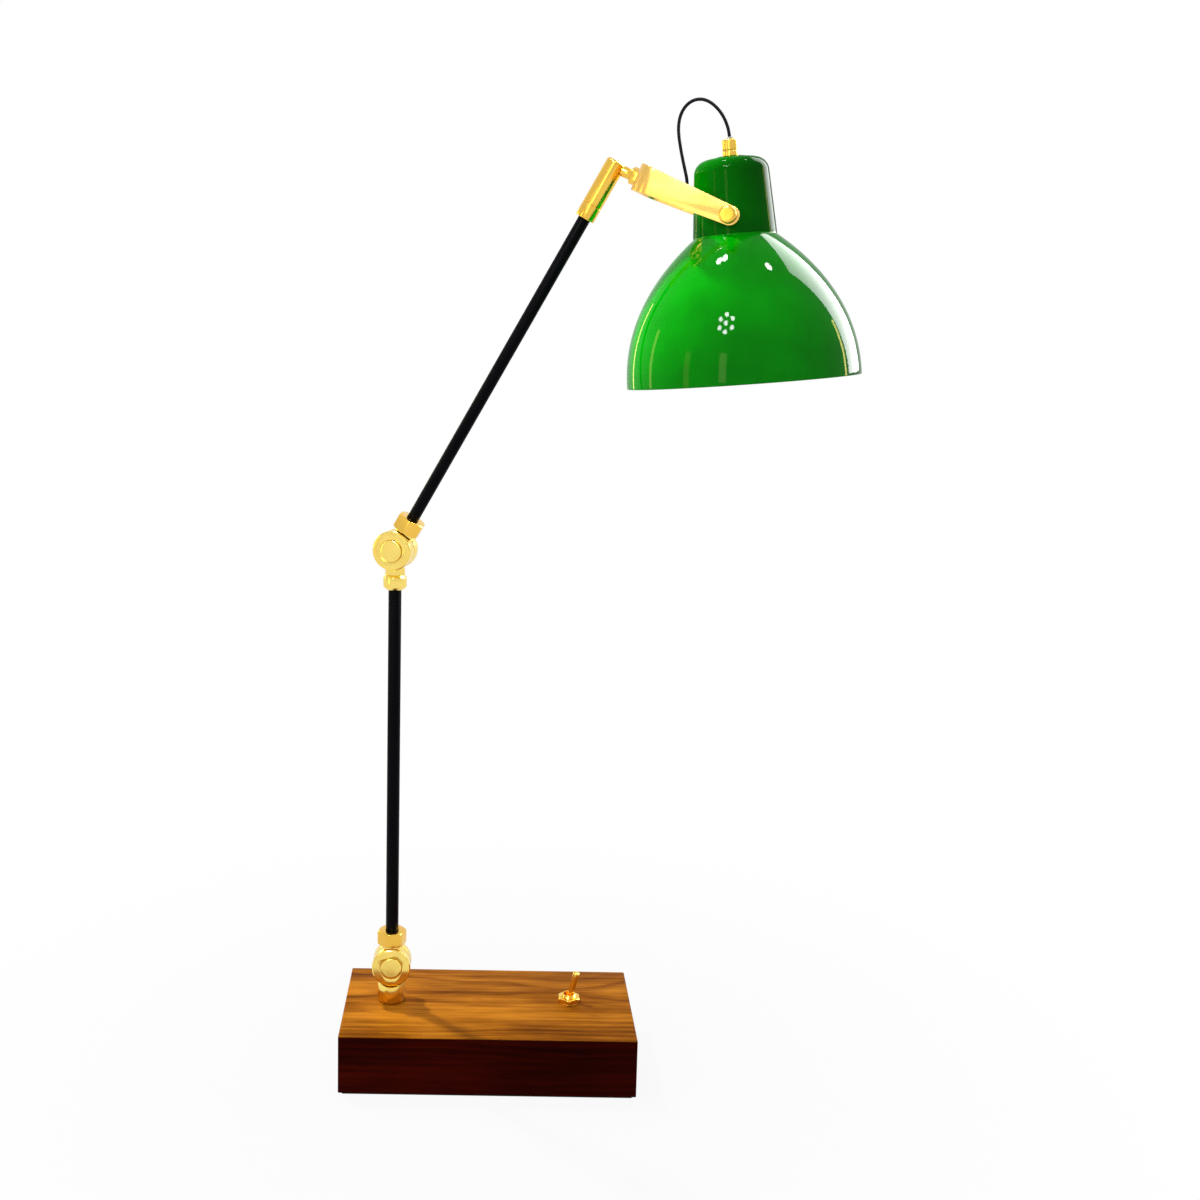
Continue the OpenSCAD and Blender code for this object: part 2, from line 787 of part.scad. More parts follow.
// The yoke: a U-shaped strap cut from a tapered outline
module strap_outline(start, half_w, r) {
    far = yoke_reach + prong_past + prong_r;
    translate([start + r, -half_w]) square([far - start - r, 2 * half_w]);
    translate([start, r - half_w]) square([r + 1, 2 * (half_w - r)]);
    for (y = [-1, 1]) translate([start + r, y * (half_w - r)]) circle(r = r);
}

module yoke() {
    half_in = yoke_gap / 2;
    tip = yoke_reach + prong_past;
    color("gold") along_stem() difference() {
        intersection() {
            rotate([0, -90, 0]) linear_extrude(crown_h, center = true) difference() {
                strap_outline(stem_reach, half_in + strap_t, bend_r);
                strap_outline(web_in, half_in, bend_r - strap_t);
            }
            rotate([0, -90, -90]) linear_extrude(2 * (half_in + strap_t), center = true) {
                polygon([
                    [stem_reach, -crown_h / 2], [tip, -prong_r], [tip, prong_r], [stem_reach, crown_h / 2]
                ]);
                translate([tip, 0]) circle(r = prong_r);
            }
        }
        cylinder(d = stem_d + 2 * run, h = web_in + 1);
        translate([0, 0, yoke_reach]) rotate([90, 0, 0])
            cylinder(d = bolt_d + 2 * run, h = yoke_gap + 2 * strap_t + 2, center = true);
    }
}

module crown_lock_nut() {
    color("gold") along_stem() translate([0, 0, web_in + run])
        hex_nut(lock_nut_af, lock_nut_t, stem_d + 2 * fit, lock_chamfer);
}

// The shade
function dome_outline(h) = dome_r * pow(1 - pow(h / dome_peak, dome_round), 1 / dome_flare);
function neck_radius(z) = shade_neck_r
    - (shade_neck_r - shade_neck_top_r) * (z - dome_top_z) / (shade_neck_h - shoulder_r);

// The dome's outline from the rim up to the seat that the neck stands on
dome_curve = [
    for (i = [0 : dome_steps])
        let (h = dome_h * sin(90 * i / dome_steps))
        [max(dome_outline(h), shade_neck_r), rim_z + h]
];

// The same outline moved inwards by the sheet's thickness
dome_lining = [
    for (i = [0 : dome_steps])
        let (
            along = unit(dome_curve[min(i + 1, dome_steps)] - dome_curve[max(i - 1, 0)]),
            p = dome_curve[i] + sheet_t * [-along.y, along.x]
        )
        [p.x, i == 0 ? rim_z : min(p.y, dome_top_z - sheet_t)]
];

module shade_dome() {
    collar_top_z = dome_top_z + dome_collar_h;
    foot_r = neck_radius(dome_top_z) - sheet_t - clear / 2;
    head_r = neck_radius(collar_top_z) - sheet_t - clear / 2;
    color("green") at_shade() rotate_extrude($fn = 144) polygon(concat(
        dome_curve,
        [[foot_r, dome_top_z], [head_r, collar_top_z], [head_r - sheet_t, collar_top_z]],
        [[foot_r - sheet_t, dome_top_z - sheet_t]],
        [for (i = [dome_steps : -1 : 0]) dome_lining[i]]
    ));
}

// The neck's outline up to its shoulder, a radius and a flat top with a raised seat
module neck_shape(inset) {
    top_r = shade_neck_top_r;
    r = shoulder_r;
    polygon([
        [0, dome_top_z], [shade_neck_r - inset, dome_top_z], [top_r - inset, neck_top_z - r],
        [top_r - r, neck_top_z - r], [top_r - r, neck_top_z - inset], [0, neck_top_z - inset]
    ]);
    intersection() {
        translate([top_r - r, neck_top_z - r]) circle(r = r - inset);
        translate([top_r - r, neck_top_z - r]) square(r);
    }
}

module neck_cap() {
    bore_r = bolt_d / 2 + fit;
    color("green") at_shade() difference() {
        rotate_extrude($fn = 144) difference() {
            union() {
                neck_shape(0);
                translate([0, neck_top_z - sheet_t]) square([seat_d / 2, seat_h + sheet_t]);
            }
            neck_shape(sheet_t);
            translate([0, dome_top_z - 1]) square([shade_neck_r - sheet_t, 1 + fit]);
            translate([0, neck_top_z - 2]) square([nipple_d / 2 + fit, seat_h + 3]);
        }
        rotate([90, 0, 0]) cylinder(r = bore_r, h = 2 * shade_neck_r + 2, center = true);
    }
}

module thumb_screws() {
    head_from = yoke_gap / 2 + strap_t;
    tip = neck_radius(0) - sheet_t - pivot_nut_t - 2;
    color("gold") at_shade() for (side = [0, 1]) mirror([0, side, 0]) rotate([90, 0, 0]) {
        translate([0, 0, head_from]) bevelled_rod(thumb_d / 2, thumb_h, thumb_bevel);
        translate([0, 0, tip]) cylinder(d = bolt_d, h = head_from - tip);
    }
}

module pivot_spacers() {
    color("gold") at_shade() difference() {
        for (side = [0, 1]) mirror([0, side, 0]) rotate([90, 0, 0])
            translate([0, 0, shade_neck_top_r - 1])
                hollow_rod(spacer_r, bolt_d / 2 + fit, yoke_gap / 2 - shade_neck_top_r + 1);
        rotate_extrude($fn = 144) translate([fit, 0]) neck_shape(0);
    }
}

module pivot_nuts() {
    corner = pivot_nut_af / sqrt(3);
    nut_out = sqrt(pow(neck_radius(corner) - sheet_t, 2) - corner * corner) - fit;
    color("silver") at_shade() for (side = [0, 1]) mirror([0, side, 0]) rotate([90, 0, 0])
        translate([0, 0, nut_out - pivot_nut_t])
            hex_nut(pivot_nut_af, pivot_nut_t, bolt_d + 2 * fit, lock_chamfer);
}

// Lamp holder, bulb and cord grip
module lamp_holder() {
    r = holder_d / 2;
    color("darkslategray") at_shade() translate([0, 0, holder_mouth_z]) rotate_extrude() polygon([
        [bulb_cap_d / 2 + clear, 0], [r - holder_wall / 2, 0], [r - holder_wall / 2, holder_h / 2],
        [r, holder_h / 2], [r, holder_h - holder_floor], [r - holder_floor, holder_h],
        [nipple_d / 2 + fit, holder_h], [nipple_d / 2 + fit, holder_h - holder_floor],
        [bulb_cap_d / 2 + clear, holder_h - holder_floor]
    ]);
}

module holder_nipple() {
    from = holder_top_z - holder_floor;
    color("silver") at_shade() translate([0, 0, from])
        hollow_rod(nipple_d / 2, nipple_bore_d / 2, nipple_top_z - from);
}

module holder_ring() {
    r = holder_d / 2;
    color("darkslategray") at_shade() translate([0, 0, holder_mouth_z + holder_h / 2 - ring_h])
        hollow_rod(r + ring_proud, r - holder_wall / 2 + fit, ring_h);
}

module bulb_cap() {
    color("silver") at_shade() translate([0, 0, holder_mouth_z])
        bevelled_rod(bulb_cap_d / 2, bulb_cap_h, 3);
}

module bulb_glass() {
    r = bulb_d / 2;
    low = holder_mouth_z - bulb_h + r;
    rise = bulb_h - r;
    color("white") at_shade() rotate_extrude() {
        intersection() {
            translate([0, low]) circle(r = r);
            translate([0, low - r]) square([r, r + r / 3]);
        }
        polygon([
            [0, low], [sqrt(r * r - r * r / 9), low + r / 3], [bulb_neck_r + 4, low + rise * 0.7],
            [bulb_neck_r, holder_mouth_z], [0, holder_mouth_z]
        ]);
    }
}

module cord_grip() {
    r = grip_d / 2;
    color("gold") at_shade() translate([0, 0, seat_z]) rotate_extrude() polygon([
        [nipple_d / 2 + fit, 0], [r, 0], [r, grip_h - 0.6], [r - 0.6, grip_h], [bush_r + fit, grip_h],
        [bush_r + fit, grip_h - bush_depth], [bush_bore_r + 0.4, grip_h - bush_depth],
        [bush_bore_r + 0.4, grip_h - bush_depth - 1], [nipple_d / 2 + fit, grip_h - bush_depth - 1]
    ]);
}

module grip_bush() {
    rise = bush_depth + bush_rise;
    color("ivory") at_shade() translate([0, 0, grip_z - bush_depth]) rotate_extrude() polygon([
        [bush_bore_r, 0], [bush_r, 0], [bush_r, rise - 1.4], [bush_r - 0.4, rise - 0.4],
        [bush_r - 1.4, rise], [bush_bore_r, rise]
    ]);
}

// The flex: one tube swept along its points, a smooth curve through each four of them
function smooth_point(a, b, c, d, t) = 0.5 * (2 * b + (c - a) * t
    + (2 * a - 5 * b + 4 * c - d) * t * t + (3 * b - a - 3 * c + d) * t * t * t);

function smooth_path(points, steps) = let (last = len(points) - 1) concat(
    [for (i = [0 : last - 1], s = [0 : steps - 1])
        smooth_point(points[max(i - 1, 0)], points[i], points[i + 1], points[min(i + 2, last)], s / steps)],
    [points[last]]
);

function unit(v) = v / norm(v);

function ring_at(path, i, r) = let (
    last = len(path) - 1,
    along = unit(path[min(i + 1, last)] - path[max(i - 1, 0)]),
    across = [-along.y, along.x]
) [
    for (k = [0 : flex_sides - 1])
        let (a = 360 * (k + 0.5) / flex_sides, p = path[i] + across * r * cos(a))
        [p.x, r * sin(a), p.y]
];

module swept_tube(path, r) {
    rings = len(path);
    n = flex_sides;
    polyhedron(
        points = [for (i = [0 : rings - 1]) each ring_at(path, i, r)],
        faces = concat(
            [[for (k = [0 : n - 1]) k]],
            [for (i = [0 : rings - 2], k = [0 : n - 1])
                [i * n + k, (i + 1) * n + k, (i + 1) * n + (k + 1) % n, i * n + (k + 1) % n]],
            [[for (k = [n - 1 : -1 : 0]) (rings - 1) * n + k]]
        )
    );
}

module shade_flex() {
    along_stem() translate([0, 0, yoke_reach]) rotate([0, -arm_lean - stem_angle, 0])
        color("black") swept_tube(smooth_path(flex_points, flex_steps), flex_d / 2);
}

base_block();
base_cover();
cover_screws();
felt_pad();
ballast_plate();
ballast_screws();
inlet_bushing();
terminal_block();
terminal_screw();
switch_body();
switch_bushing();
switch_washer();
switch_nut();
switch_lever();
foot_knuckle();
foot_nipple();
foot_washer();
foot_nut();
lower_bolt();
lower_cap_nut();
lower_friction_washer();
post_knuckle();
post_collar();
lower_tube();
elbow_lower_half();
elbow_bolt();
elbow_cap_nut();
elbow_friction_washer();
elbow_upper_half();
arm_collar();
upper_tube();
arm_ferrule();
arm_sleeve();
yoke_stem();
stem_nut();
yoke();
crown_lock_nut();
shade_dome();
neck_cap();
thumb_screws();
pivot_spacers();
pivot_nuts();
lamp_holder();
holder_nipple();
holder_ring();
bulb_cap();
bulb_glass();
cord_grip();
grip_bush();
shade_flex();
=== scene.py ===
"""An articulated desk lamp: walnut block, black tubes on brass disc joints, brass yoke, green shade.

Sizes of the sub-assemblies are in millimetres, and the bench turns them into metres. The places
of the moving parts come from the frame's joints.
"""

import json
import logging
from dataclasses import dataclass
from enum import Enum
from math import cos, pi, radians, sin, sqrt
from typing import Any, Optional, Sequence

import bpy
from mathutils import Matrix, Vector


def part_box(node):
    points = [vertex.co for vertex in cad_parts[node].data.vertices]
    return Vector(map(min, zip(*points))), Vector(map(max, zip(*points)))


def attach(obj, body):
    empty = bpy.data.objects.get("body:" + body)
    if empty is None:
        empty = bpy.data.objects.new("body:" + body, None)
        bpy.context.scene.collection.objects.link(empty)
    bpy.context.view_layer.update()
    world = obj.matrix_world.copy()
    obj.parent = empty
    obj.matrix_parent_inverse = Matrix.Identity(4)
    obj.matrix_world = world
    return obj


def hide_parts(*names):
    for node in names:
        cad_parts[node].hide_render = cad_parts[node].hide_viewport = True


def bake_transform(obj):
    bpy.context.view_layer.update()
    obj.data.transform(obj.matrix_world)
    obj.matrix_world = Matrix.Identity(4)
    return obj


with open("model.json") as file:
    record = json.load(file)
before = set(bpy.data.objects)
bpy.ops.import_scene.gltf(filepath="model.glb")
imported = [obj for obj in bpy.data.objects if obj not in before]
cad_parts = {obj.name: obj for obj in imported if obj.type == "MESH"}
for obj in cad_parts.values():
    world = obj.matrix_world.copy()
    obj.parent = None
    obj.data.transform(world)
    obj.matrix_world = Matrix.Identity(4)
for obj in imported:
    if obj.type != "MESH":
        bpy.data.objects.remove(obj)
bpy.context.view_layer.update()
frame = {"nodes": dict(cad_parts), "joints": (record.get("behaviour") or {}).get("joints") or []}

MM = 0.001
# Points closer than this are merged, in metres.
NEAR = 1e-6
# Edges sharper than this are rounded, in degrees.
SHARP = 28
UP = Vector((0, 0, 1))
BACK = Vector((0, 1, 0))
LOG = logging.getLogger("desk_lamp")

Colour = tuple[float, float, float]
Finish = bpy.types.Material
Obj = bpy.types.Object
Outline = list[tuple[float, float]]
Socket = bpy.types.NodeSocket
Spot = tuple[float, float, float]


# ---- Places ----


def joint_row(name: str) -> dict[str, Any]:
    """Find a joint of the frame by its name in the record."""
    return next(row for row in frame["joints"] if row["name"] == name)


def joint_place(name: str) -> Vector:
    """Give a joint's place in metres."""
    return Vector(joint_row(name)["pos_m"])


def joint_axis(name: str) -> Vector:
    """Give a joint's axis as a unit vector."""
    return Vector(joint_row(name)["axis"]).normalized()


def placed_frame(origin: Vector, up: Vector, side: Vector) -> Matrix:
    """Build the matrix of a right-handed frame.

    Args:
        origin: the frame's origin in metres.
        up: the direction of its Z axis.
        side: the direction of its Y axis, which is squared up to Z.

    Returns:
        The matrix that takes the frame's own coordinates to the lamp's.
    """
    z = up.normalized()
    x = side.cross(z).normalized()
    y = z.cross(x)
    turned = Matrix((x, y, z)).transposed().to_4x4()
    return Matrix.Translation(origin) @ turned


class LampFrames:
    """The frames that the sub-assemblies are built in, from the frame's joints.

    The foot is the lower pivot, upright, with Y to the back, and the elbow is upright with Y along
    its bolt. The arm is the elbow with Z along the arm. The stem has Z along the yoke's stem, from
    the middle of the arm's sleeve. The shade is its pivot with Z along the shade's axis, and the
    lever is the switch lever's pivot, upright.
    """

    def __init__(self, shade_lean: float = 5.4) -> None:
        """Work the frames out.

        Args:
            shade_lean: how far the shade's axis leans, in degrees.
        """
        elbow, swivel = joint_place("elbow"), joint_place("yoke_swivel")
        bolt, tilt = joint_axis("elbow"), joint_axis("shade_tilt")
        self.foot = placed_frame(joint_place("post_tilt"), UP, BACK)
        self.elbow = placed_frame(elbow, UP, bolt)
        self.arm = placed_frame(elbow, swivel - elbow, bolt)
        self.stem = placed_frame(swivel, joint_axis("yoke_swivel"), bolt)
        axis = Matrix.Rotation(-radians(shade_lean), 3, tilt) @ UP
        self.shade = placed_frame(joint_place("shade_tilt"), axis, tilt)
        self.lever = placed_frame(joint_place("switch_toggle"), UP, BACK)


FRAMES = LampFrames()


def facing(place: Matrix, back: bool = False) -> Matrix:
    """Turn a frame so that its Z axis runs along its Y axis to the front, or to the back."""
    return place @ Matrix.Rotation(radians(-90 if back else 90), 4, "X")


# ---- Outlines ----


def rod(radius: float, low: float, high: float) -> Outline:
    """Give the outline of a plain rod between two heights."""
    return [(0, low), (radius, low), (radius, high), (0, high)]


def pipe(across: float, low: float, high: float, wall: float = 1) -> Outline:
    """Give the closed outline of a pipe from its outer diameter, its ends and its wall."""
    r = across / 2
    return [(r - wall, low), (r, low), (r, high), (r - wall, high), (r - wall, low)]


def arc(centre: tuple[float, float], radius: float, step: float, count: int) -> Outline:
    """Give a round stretch of an outline.

    Args:
        centre: the arc's centre.
        radius: its radius.
        step: the angle from point to point in degrees, from straight out and upwards.
        count: how many points it has.

    Returns:
        Its points.
    """
    angles = [radians(step * k) for k in range(count)]
    return [(centre[0] + radius * cos(a), centre[1] + radius * sin(a)) for a in angles]


# ---- The bench: every new mesh is shaped through it ----


class Cut(Enum):
    """How a tool piece works on another."""

    AWAY = "DIFFERENCE"
    SHARED = "INTERSECT"


class Bench:
    """Shapes meshes with the modelling operators."""

    @staticmethod
    def clear() -> None:
        """Leave edit mode and deselect everything."""
        if bpy.context.object and bpy.context.object.mode != "OBJECT":
            bpy.ops.object.mode_set(mode="OBJECT")
        bpy.ops.object.select_all(action="DESELECT")

    @staticmethod
    def pick(obj: Obj) -> None:
        """Select one piece and make it the active one."""
        Bench.clear()
        obj.select_set(True)
        bpy.context.view_layer.objects.active = obj

    @staticmethod
    def edit() -> None:
        """Start on the whole of the active piece in edit mode."""
        bpy.ops.object.mode_set(mode="EDIT")
        bpy.ops.mesh.select_all(action="SELECT")

    @staticmethod
    def named(name: str) -> Obj:
        """Name the active piece and its mesh."""
        obj = bpy.context.object
        obj.name = obj.data.name = name
        return obj

    @staticmethod
    def linked(name: str, data: Any) -> Obj:
        """Make an object of a mesh, curve, lamp or camera and link it to the scene."""
        obj = bpy.data.objects.new(name, data)
        bpy.context.scene.collection.objects.link(obj)
        return obj

    @staticmethod
    def put(obj: Obj, place: Matrix) -> Obj:
        """Move a piece to its place and apply that to its mesh."""
        Bench.pick(obj)
        obj.matrix_world = place @ obj.matrix_world
        bpy.ops.object.transform_apply(location=True, rotation=True, scale=True)
        return obj

    @staticmethod
    def box(name: str, length: float, width: float, height: float, low: float = 0) -> Obj:
        """Stand a block on the middle of the floor.

        Args:
            name: the piece's name.
            length: its size along X.
            width: its size along Y.
            height: its size along Z.
            low: the height of its lower face.

        Returns:
            The block.
        """
        Bench.clear()
        bpy.ops.mesh.primitive_cube_add(size=1, location=(0, 0, (low + height / 2) * MM))
        obj = Bench.named(name)
        obj.scale = (length * MM, width * MM, height * MM)
        bpy.ops.object.transform_apply(location=True, rotation=True, scale=True)
        return obj

    @staticmethod
    def turned(name: str, outline: Outline, place: Matrix, steps: int) -> Obj:
        """Turn an outline about Z, as on a lathe.

        Args:
            name: the piece's name.
            outline: its (radius, height) points; a ring's outline closes itself.
            place: the frame that it is turned in.
            steps: how many steps the full turn has.

        Returns:
            The turned piece.
        """
        Bench.clear()
        bpy.ops.mesh.primitive_plane_add(size=0.001)
        obj = Bench.named(name)
        Bench.edit()
        bpy.ops.mesh.select_mode(type="VERT")
        bpy.ops.mesh.merge(type="CENTER")
        bpy.ops.transform.translate(value=(outline[0][0] * MM, 0, outline[0][1] * MM))
        for (r0, z0), (r1, z1) in zip(outline, outline[1:]):
            step = ((r1 - r0) * MM, 0, (z1 - z0) * MM)
            bpy.ops.mesh.extrude_vertices_move(TRANSFORM_OT_translate={"value": step})
        bpy.ops.mesh.select_all(action="SELECT")
        bpy.ops.mesh.remove_doubles(threshold=NEAR)
        bpy.ops.mesh.spin(steps=steps, angle=2 * pi, center=(0, 0, 0), axis=(0, 0, 1))
        bpy.ops.mesh.select_all(action="SELECT")
        bpy.ops.mesh.remove_doubles(threshold=2 * NEAR)
        bpy.ops.mesh.normals_make_consistent(inside=False)
        bpy.ops.object.mode_set(mode="OBJECT")
        return Bench.put(obj, place)

    @staticmethod
    def from_node(node: str) -> Obj:
        """Take a merged copy of a frame node, with no material, as the start of a piece.

        Args:
            node: the node that is copied.

        Returns:
            The copy, named after the node.
        """
        name = f"{node}_piece"
        obj = Bench.linked(name, frame["nodes"][node].data.copy())
        obj.data.name = name
        obj.data.materials.clear()
        Bench.pick(obj)
        Bench.edit()
        bpy.ops.mesh.remove_doubles(threshold=NEAR)
        bpy.ops.mesh.delete_loose()
        bpy.ops.object.mode_set(mode="OBJECT")
        return obj

    @staticmethod
    def worked(obj: Obj, tool: Obj, cut: Cut = Cut.AWAY) -> None:
        """Cut a piece with a tool piece, which is used up.

        Args:
            obj: the piece that is worked.
            tool: the tool piece.
            cut: whether the tool's shape is taken away, or is all that stays.
        """
        Bench.pick(obj)
        work = obj.modifiers.new("work", "BOOLEAN")
        work.operation, work.solver, work.object = cut.value, "EXACT", tool
        bpy.ops.object.modifier_apply(modifier="work")
        bpy.data.objects.remove(tool, do_unlink=True)

    @staticmethod
    def softened(obj: Obj, width: float, segments: int = 2, clean: bool = False) -> Obj:
        """Round a piece's sharp edges and smooth its round faces.

        Args:
            obj: the piece.
            width: the edge's width; 0 leaves the edges sharp.
            segments: the rounding's segments.
            clean: whether flat faces are merged first.

        Returns:
            The softened piece.
        """
        Bench.pick(obj)
        if clean:
            Bench.edit()
            bpy.ops.mesh.remove_doubles(threshold=3 * NEAR)
            bpy.ops.mesh.dissolve_limited(angle_limit=radians(0.4))
            bpy.ops.object.mode_set(mode="OBJECT")
        if width:
            edge = obj.modifiers.new("edge", "BEVEL")
            edge.width, edge.segments = width * MM, segments
            edge.limit_method, edge.angle_limit = "ANGLE", radians(SHARP)
            edge.use_clamp_overlap = True
            edge.miter_outer = "MITER_ARC"
            bpy.ops.object.modifier_apply(modifier="edge")
        bpy.ops.object.shade_smooth_by_angle(angle=radians(SHARP + 4))
        return obj


@dataclass(frozen=True)
class Fit:
    """How a piece belongs to the lamp: its body, the record's material slot and its finish."""

    body: str
    slot: str
    finish: Optional[Finish] = None

    def fitted(self, obj: Obj, node: str) -> Obj:
        """Dress a finished piece, let it ride on its body and stand for its node.

        Args:
            obj: the piece, which may have its materials already.
            node: the frame node that it replaces.

        Returns:
            The piece.
        """
        if self.finish:
            obj.data.materials.append(self.finish)
        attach(obj, self.body)
        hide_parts(node)
        LOG.info("%s rides on %s, %d faces", obj.name, self.body, len(obj.data.polygons))
        return obj

    def lathed(
        self,
        node: str,
        outline: Outline,
        place: Matrix,
        steps: int = 96,
        edge: float = 0.12,
        segments: int = 2,
        name: str = "",
    ) -> Obj:
        """Turn the piece that stands for a node, soften its edges and fit it.

        Args:
            node: the frame node that it replaces.
            outline: its outline.
            place: the frame that it is turned in.
            steps: how many steps the full turn has.
            edge: the width of its soft edges.
            segments: their segments.
            name: its name, when it isn't the node's with "piece" added.

        Returns:
            The piece.
        """
        obj = Bench.turned(name or f"{node}_piece", outline, place, steps)
        return self.fitted(Bench.softened(obj, edge, segments), node)

    def refined(self, node: str, edge: float, segments: int = 2) -> Obj:
        """Soften the edges of a node's own shape and fit it."""
        return self.fitted(Bench.softened(Bench.from_node(node), edge, segments, clean=True), node)


def dressed(finish: Finish, *nodes: str) -> None:
    """Give frame nodes that keep their own shape a procedural finish.

    Args:
        finish: the material.
        nodes: the nodes' names.
    """
    for name in nodes:
        node = frame["nodes"][name]
        if not node.material_slots:
            node.data.materials.append(finish)
        for slot in node.material_slots:
            slot.material = finish
        LOG.info("%s keeps its shape and takes %s", name, finish.name)


# ---- Finishes ----


class Board:
    """Wires the nodes of one material or of the world."""

    def __init__(self, name: str, world: bool = False) -> None:
        """Start a material or a world with only an output.

        Args:
            name: its name.
            world: whether it is a world.
        """
        self.owner = (bpy.data.worlds if world else bpy.data.materials).new(name)
        self.owner.use_nodes = True
        self.tree = self.owner.node_tree
        self.tree.nodes.clear()
        self.out = self.add("ShaderNodeOutputWorld" if world else "ShaderNodeOutputMaterial")

    def add(self, kind: str, settings: Optional[dict[str, Any]] = None, **inputs: Any) -> bpy.types.Node:
        """Add a node and set or link its inputs.

        Args:
            kind: the node's type.
            settings: the node's own settings.
            inputs: its inputs by name, with _ for a space, or in0, in1 by place.

        Returns:
            The node.
        """
        node = self.tree.nodes.new(kind)
        for key, value in (settings or {}).items():
            setattr(node, key, value)
        for key, value in inputs.items():
            self.feed(node, key, value)
        return node

    def feed(self, node: bpy.types.Node, key: str, value: Any) -> None:
        """Set one input of a node, or link it to a socket or to a node's first output."""
        place: Any = int(key[2:]) if key[:2] == "in" and key[2:].isdigit() else key.replace("_", " ")
        socket = node.inputs[place]
        if isinstance(value, bpy.types.Node):
            value = value.outputs[0]
        if isinstance(value, Socket):
            self.tree.links.new(value, socket)
        else:
            socket.default_value = value

    def shown(self, shader: bpy.types.Node) -> Any:
        """Let the output show a shader, and give the finished material or world."""
        self.feed(self.out, "Surface", shader)
        return self.owner

    def surface(self, **inputs: Any) -> Finish:
        """Finish the material with a surface shader of these inputs."""
        return self.shown(self.add("ShaderNodeBsdfPrincipled", **inputs))

    def vector(self, operation: str, a: Any, b: Any = (0, 0, 0)) -> Socket:
        """Work one sum on a vector and another or, to scale it, a number."""
        inputs = {"in0": a, "Scale" if operation == "SCALE" else "in1": b}
        node = self.add("ShaderNodeVectorMath", {"operation": operation}, **inputs)
        return node.outputs["Value" if operation in ("LENGTH", "DOT_PRODUCT") else "Vector"]

    def sum(self, operation: str, a: Any, b: Any = 0.0) -> Socket:
        """Work one sum on two numbers."""
        return self.add("ShaderNodeMath", {"operation": operation}, in0=a, in1=b).outputs[0]

    def times(self, a: Any, b: Any) -> Socket:
        """Multiply two numbers."""
        return self.sum("MULTIPLY", a, b)

    def place(self, scale: Sequence[float] = (1, 1, 1), shift: Sequence[float] = (0, 0, 0)) -> Socket:
        """Give object coordinates, first shifted back and then scaled."""
        coords = self.add("ShaderNodeTexCoord").outputs["Object"]
        return self.vector("MULTIPLY", self.vector("SUBTRACT", coords, tuple(shift)), tuple(scale))

    def noise(self, scale: float, detail: float = 3, rough: float = 0.55, at: Any = None) -> Socket:
        """Give fractal noise, a number from 0 to 1, on the piece or at a given place."""
        at = self.place() if at is None else at
        node = self.add("ShaderNodeTexNoise", Vector=at, Scale=scale, Detail=detail, Roughness=rough)
        return node.outputs[0]

    def span(self, value: Any, low: float, high: float, to_low: float = 0, to_high: float = 1) -> Socket:
        """Carry a number from one span to another, held at the ends."""
        ends = {"From_Min": low, "From_Max": high, "To_Min": to_low, "To_Max": to_high}
        return self.add("ShaderNodeMapRange", {"clamp": True}, Value=value, **ends).outputs[0]

    def ramp(self, value: Any, *stops: tuple[float, Colour]) -> Socket:
        """Turn a number into a colour through stops of (place, linear colour)."""
        node = self.add("ShaderNodeValToRGB", Fac=value)
        steps = node.color_ramp.elements
        while len(steps) < len(stops):
            steps.new(0.5)
        for step, (where, colour) in zip(steps, stops):
            step.position = where
            step.color = (*colour, 1)
        return node.outputs[0]

    def blend(self, how: str, share: Any, a: Any, b: Any) -> Socket:
        """Mix two colours.

        Args:
            how: the way that they mix, such as MIX or MULTIPLY.
            share: the second colour's share.
            a: the first colour.
            b: the second colour.

        Returns:
            The mixed colour.
        """
        a, b = ((*part, 1) if isinstance(part, tuple) else part for part in (a, b))
        node = self.add("ShaderNodeMix", {"data_type": "RGBA", "blend_type": how}, in0=share, in6=a, in7=b)
        return node.outputs[2]

    def shaded(self, share: Any, tint: Colour, factor: float) -> Socket:
        """Mix a tint with the same tint at another strength."""
        return self.blend("MIX", share, tint, tuple(factor * part for part in tint))

    def relief(self, height: Any, depth: float) -> Socket:
        """Give the normal of a relief, from a height of 0 to 1 and the metres that 1 stands for."""
        return self.add("ShaderNodeBump", Height=height, Distance=depth, Strength=1.0).outputs[0]


